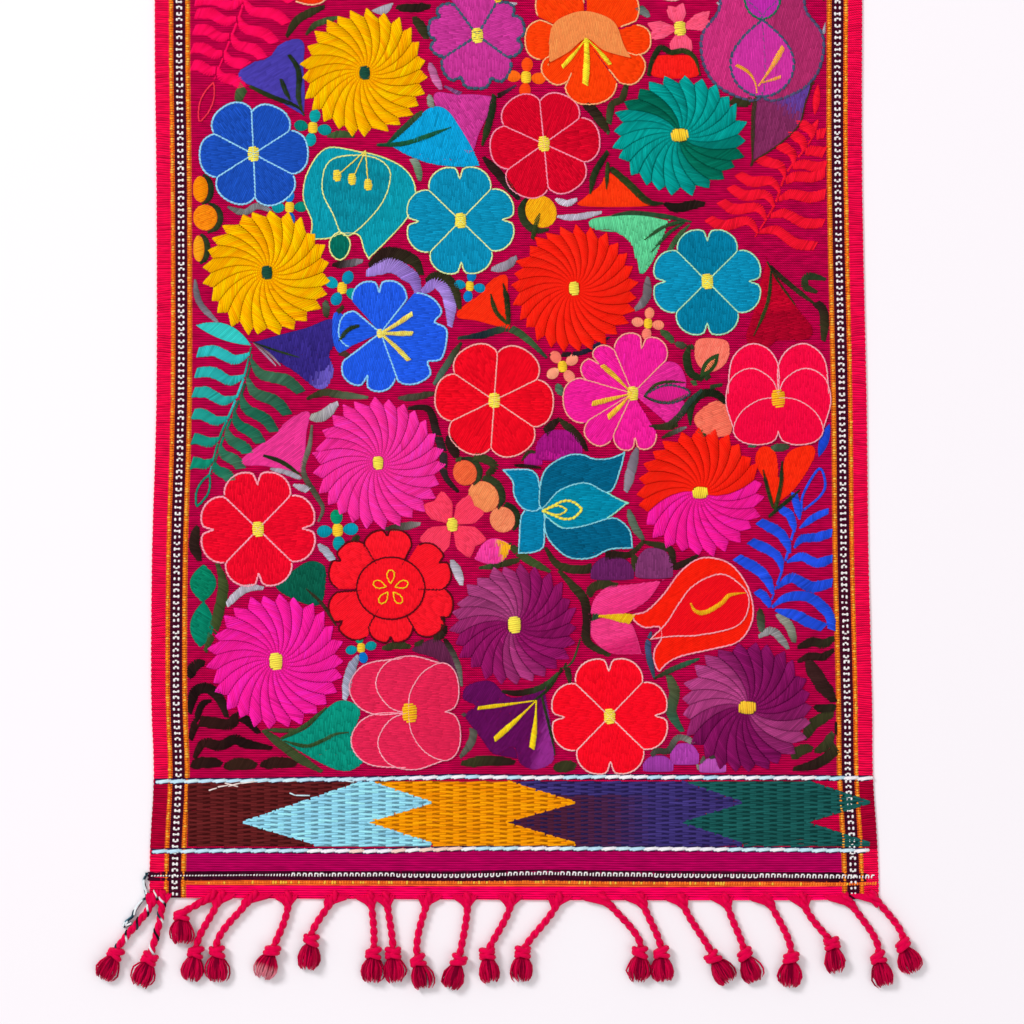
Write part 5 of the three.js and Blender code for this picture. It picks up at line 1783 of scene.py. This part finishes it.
def knots_of(cords, end, yarn):
    """An overhand knot: a soft core crossed by three fat turns of the cord."""
    draw = np.random.default_rng(320 + end)
    root, knot, out, _, tip, tip_out = (cords[:, i:i + 1] for i in range(6))
    centre = np.concatenate([beyond(knot, out, end, root)[:, 0], np.full((len(cords), 1), KNOT_HEIGHT)], 1)
    ahead = beyond(tip, tip_out, end, root)[:, 0] - centre[:, :2]
    ahead = unit(np.concatenate([ahead, np.zeros((len(cords), 1))], 1))
    across = np.cross(ahead, (0, 0, 1.0))
    t = np.linspace(-1, 1, 9)[None, :, None]
    core = centre[:, None] + ahead[:, None] * t * 3.0
    # The core is a darker copy of the yarn: painted shade where it shows between the turns.
    parts = [tubes(core, KNOT_RADIUS * np.sqrt(np.clip(1.02 - t[..., 0] ** 2, 0, 1)),
                   np.broadcast_to(yarn * 0.6, (len(cords), 9, 3)), 8)]
    angle = np.linspace(0, 2 * math.pi, 17)[None, :, None]
    for shift, lean, wide, thick in ((-1.3, 0.30, 3.2, 1.6), (1.4, -0.34, 3.3, 1.55), (0.1, 0.7, 3.5, 1.45)):
        lean = lean * np.where(draw.random((len(cords), 1, 1)) < 0.7, 1, -1)
        turn = centre[:, None] + ahead[:, None] * (shift + lean * KNOT_RADIUS * np.cos(angle))
        turn = turn + across[:, None] * wide * np.cos(angle) + np.array([0, 0, 1.0]) * 2.0 * np.sin(angle)
        tints = yarn * draw.uniform(0.88, 1.08, (len(cords), 17, 1))
        parts.append(tubes(turn, thick, tints, 7, pole=ahead[:, None] + 1e-6))
    return parts, centre, ahead, across


def tassels_of(cords, end, yarn, knot_centre, ahead, across):
    """Fine strands that swell from the knot and draw in again; a few loop out past the rest."""
    draw = np.random.default_rng(330 + end)
    count = len(cords)
    t = TASSEL_STEPS
    # The filling is a dark red: painted shade inside the tassel, between its strands.
    dark = linear("6A0022")
    fill_t = np.broadcast_to(t, (count, 6))
    middle = knot_centre[:, None] + ahead[:, None] * (2.4 + 13.0 * fill_t[..., None])
    middle[..., 2] = np.interp(t, (0, 0.5, 1), (3.3, 3.2, 2.6))
    parts = [tubes(middle, TASSEL_FILLING, np.broadcast_to(dark, (count, 6, 3)), 7)]
    for number in range(TASSEL_STRANDS):
        turn = math.radians(-25 + 230 * (number + 0.5) / TASSEL_STRANDS) + draw.normal(0, 0.1, (count, 1))
        fly = draw.random((count, 1)) < 0.07
        reach = np.where(fly, draw.uniform(1.15, 1.35, (count, 1)), draw.uniform(0.8, 1.04, (count, 1)))
        radius = TASSEL_SWELL[None, :] * reach
        long = draw.uniform(12.6, 14.8, (count, 1))
        aside = (np.cos(turn) * radius)[..., None]
        high = 3.2 + np.sin(turn) * radius * 0.5 - 0.9 * t ** 3
        path = knot_centre[:, None] + ahead[:, None] * (2.2 + t * long)[..., None] + across[:, None] * aside
        path[..., 2] = np.clip(high, 0.5, 7.2)
        path[:, 1:, :2] += draw.normal(0, 0.18, (count, 5, 2))
        shade = draw.uniform(0.55, 1.25, (count, 1, 1)) * TASSEL_SHADING
        tints = (yarn * shade).clip(0, 1)
        # Some tips, and every loop that flies out, are painted pale pink: a painted highlight where the loop
        # ends glint.
        pale = (draw.random((count, 1)) < 0.12) | fly
        tints[:, -1] = np.where(pale, 0.55 * linear("FFB4C8") + 0.45 * tints[:, -1], tints[:, -1])
        if end < 0:
            tints[5, 3:] = 0.5 * tints[5, 3:] + 0.5 * linear("F0A8B4")
        parts.append(tubes(path, STRAND_RADII, tints, 4))
    return parts


rose_yarn, tassel_yarn = linear("DA0446"), linear("C2043E")
for end, side, cords in ((-1, "near", np.array(NEAR_CORDS, float)), (1, "far", np.array(FAR_CORDS))):
    node = f"fringe_{side}"
    plied = cords_of(cords, end, rose_yarn) + roots_of(cords, end, rose_yarn)
    join_tubes(f"fringe_cords_{side}", plied, node)
    turns, middle, ahead, across = knots_of(cords, end, rose_yarn)
    join_tubes(f"fringe_knots_{side}", turns, node)
    strands = tassels_of(cords, end, tassel_yarn, middle, ahead, across)
    join_tubes(f"fringe_tassels_{side}", strands, node)

# A loose end of blue and white yarn hangs from the near left corner.
TAIL_SHADES = (("2C6A7C", "E4EEF0", "1E3A48"), ("E8F2F2", "203440", "E0ECEE"),
               ("18232E", "3A7A88", "DCE8EA"))
tail_way = smooth([(-204.6, 14), (-207.5, 9.5), (-206.3, 4), (-203.6, 1.5), (-208.5, -2), (-212, -7),
                   (-213.2, -10.5), (-216.8, -14), (-217.3, -16), (-213.5, -14.5)], closed=False, steps=5)
tail_parts = []
for number, shades in enumerate(TAIL_SHADES):
    draw = np.random.default_rng(340 + number)
    wander = np.cumsum(draw.normal(0, 0.25, tail_way.shape), axis=0) * 0.35
    wander = wander + (number - 1) * np.array([0.75, 0.4])
    way = tail_way + wander * np.linspace(0.3, 1, len(tail_way))[:, None]
    x = np.where(way[:, 1] > 0, np.minimum(way[:, 0], -205.6 - 0.4 * number), way[:, 0])
    height = np.full(len(way), 1.2 + 0.6 * (number == 1))
    path = np.column_stack([x, -(HALF_LENGTH - way[:, 1]), height])[None]
    pick = (np.arange(len(way)) // 5 + number) % 3
    tints = np.array([linear(c) for c in shades])[pick][None]
    tail_parts.append(tubes(path, 0.65, tints, 5))
join_tubes("loose_yarn_end", tail_parts, "fringe_near")

size = {"cad": [list(cad_low), list(cad_high)], "visual": [list(v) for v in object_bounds()]}
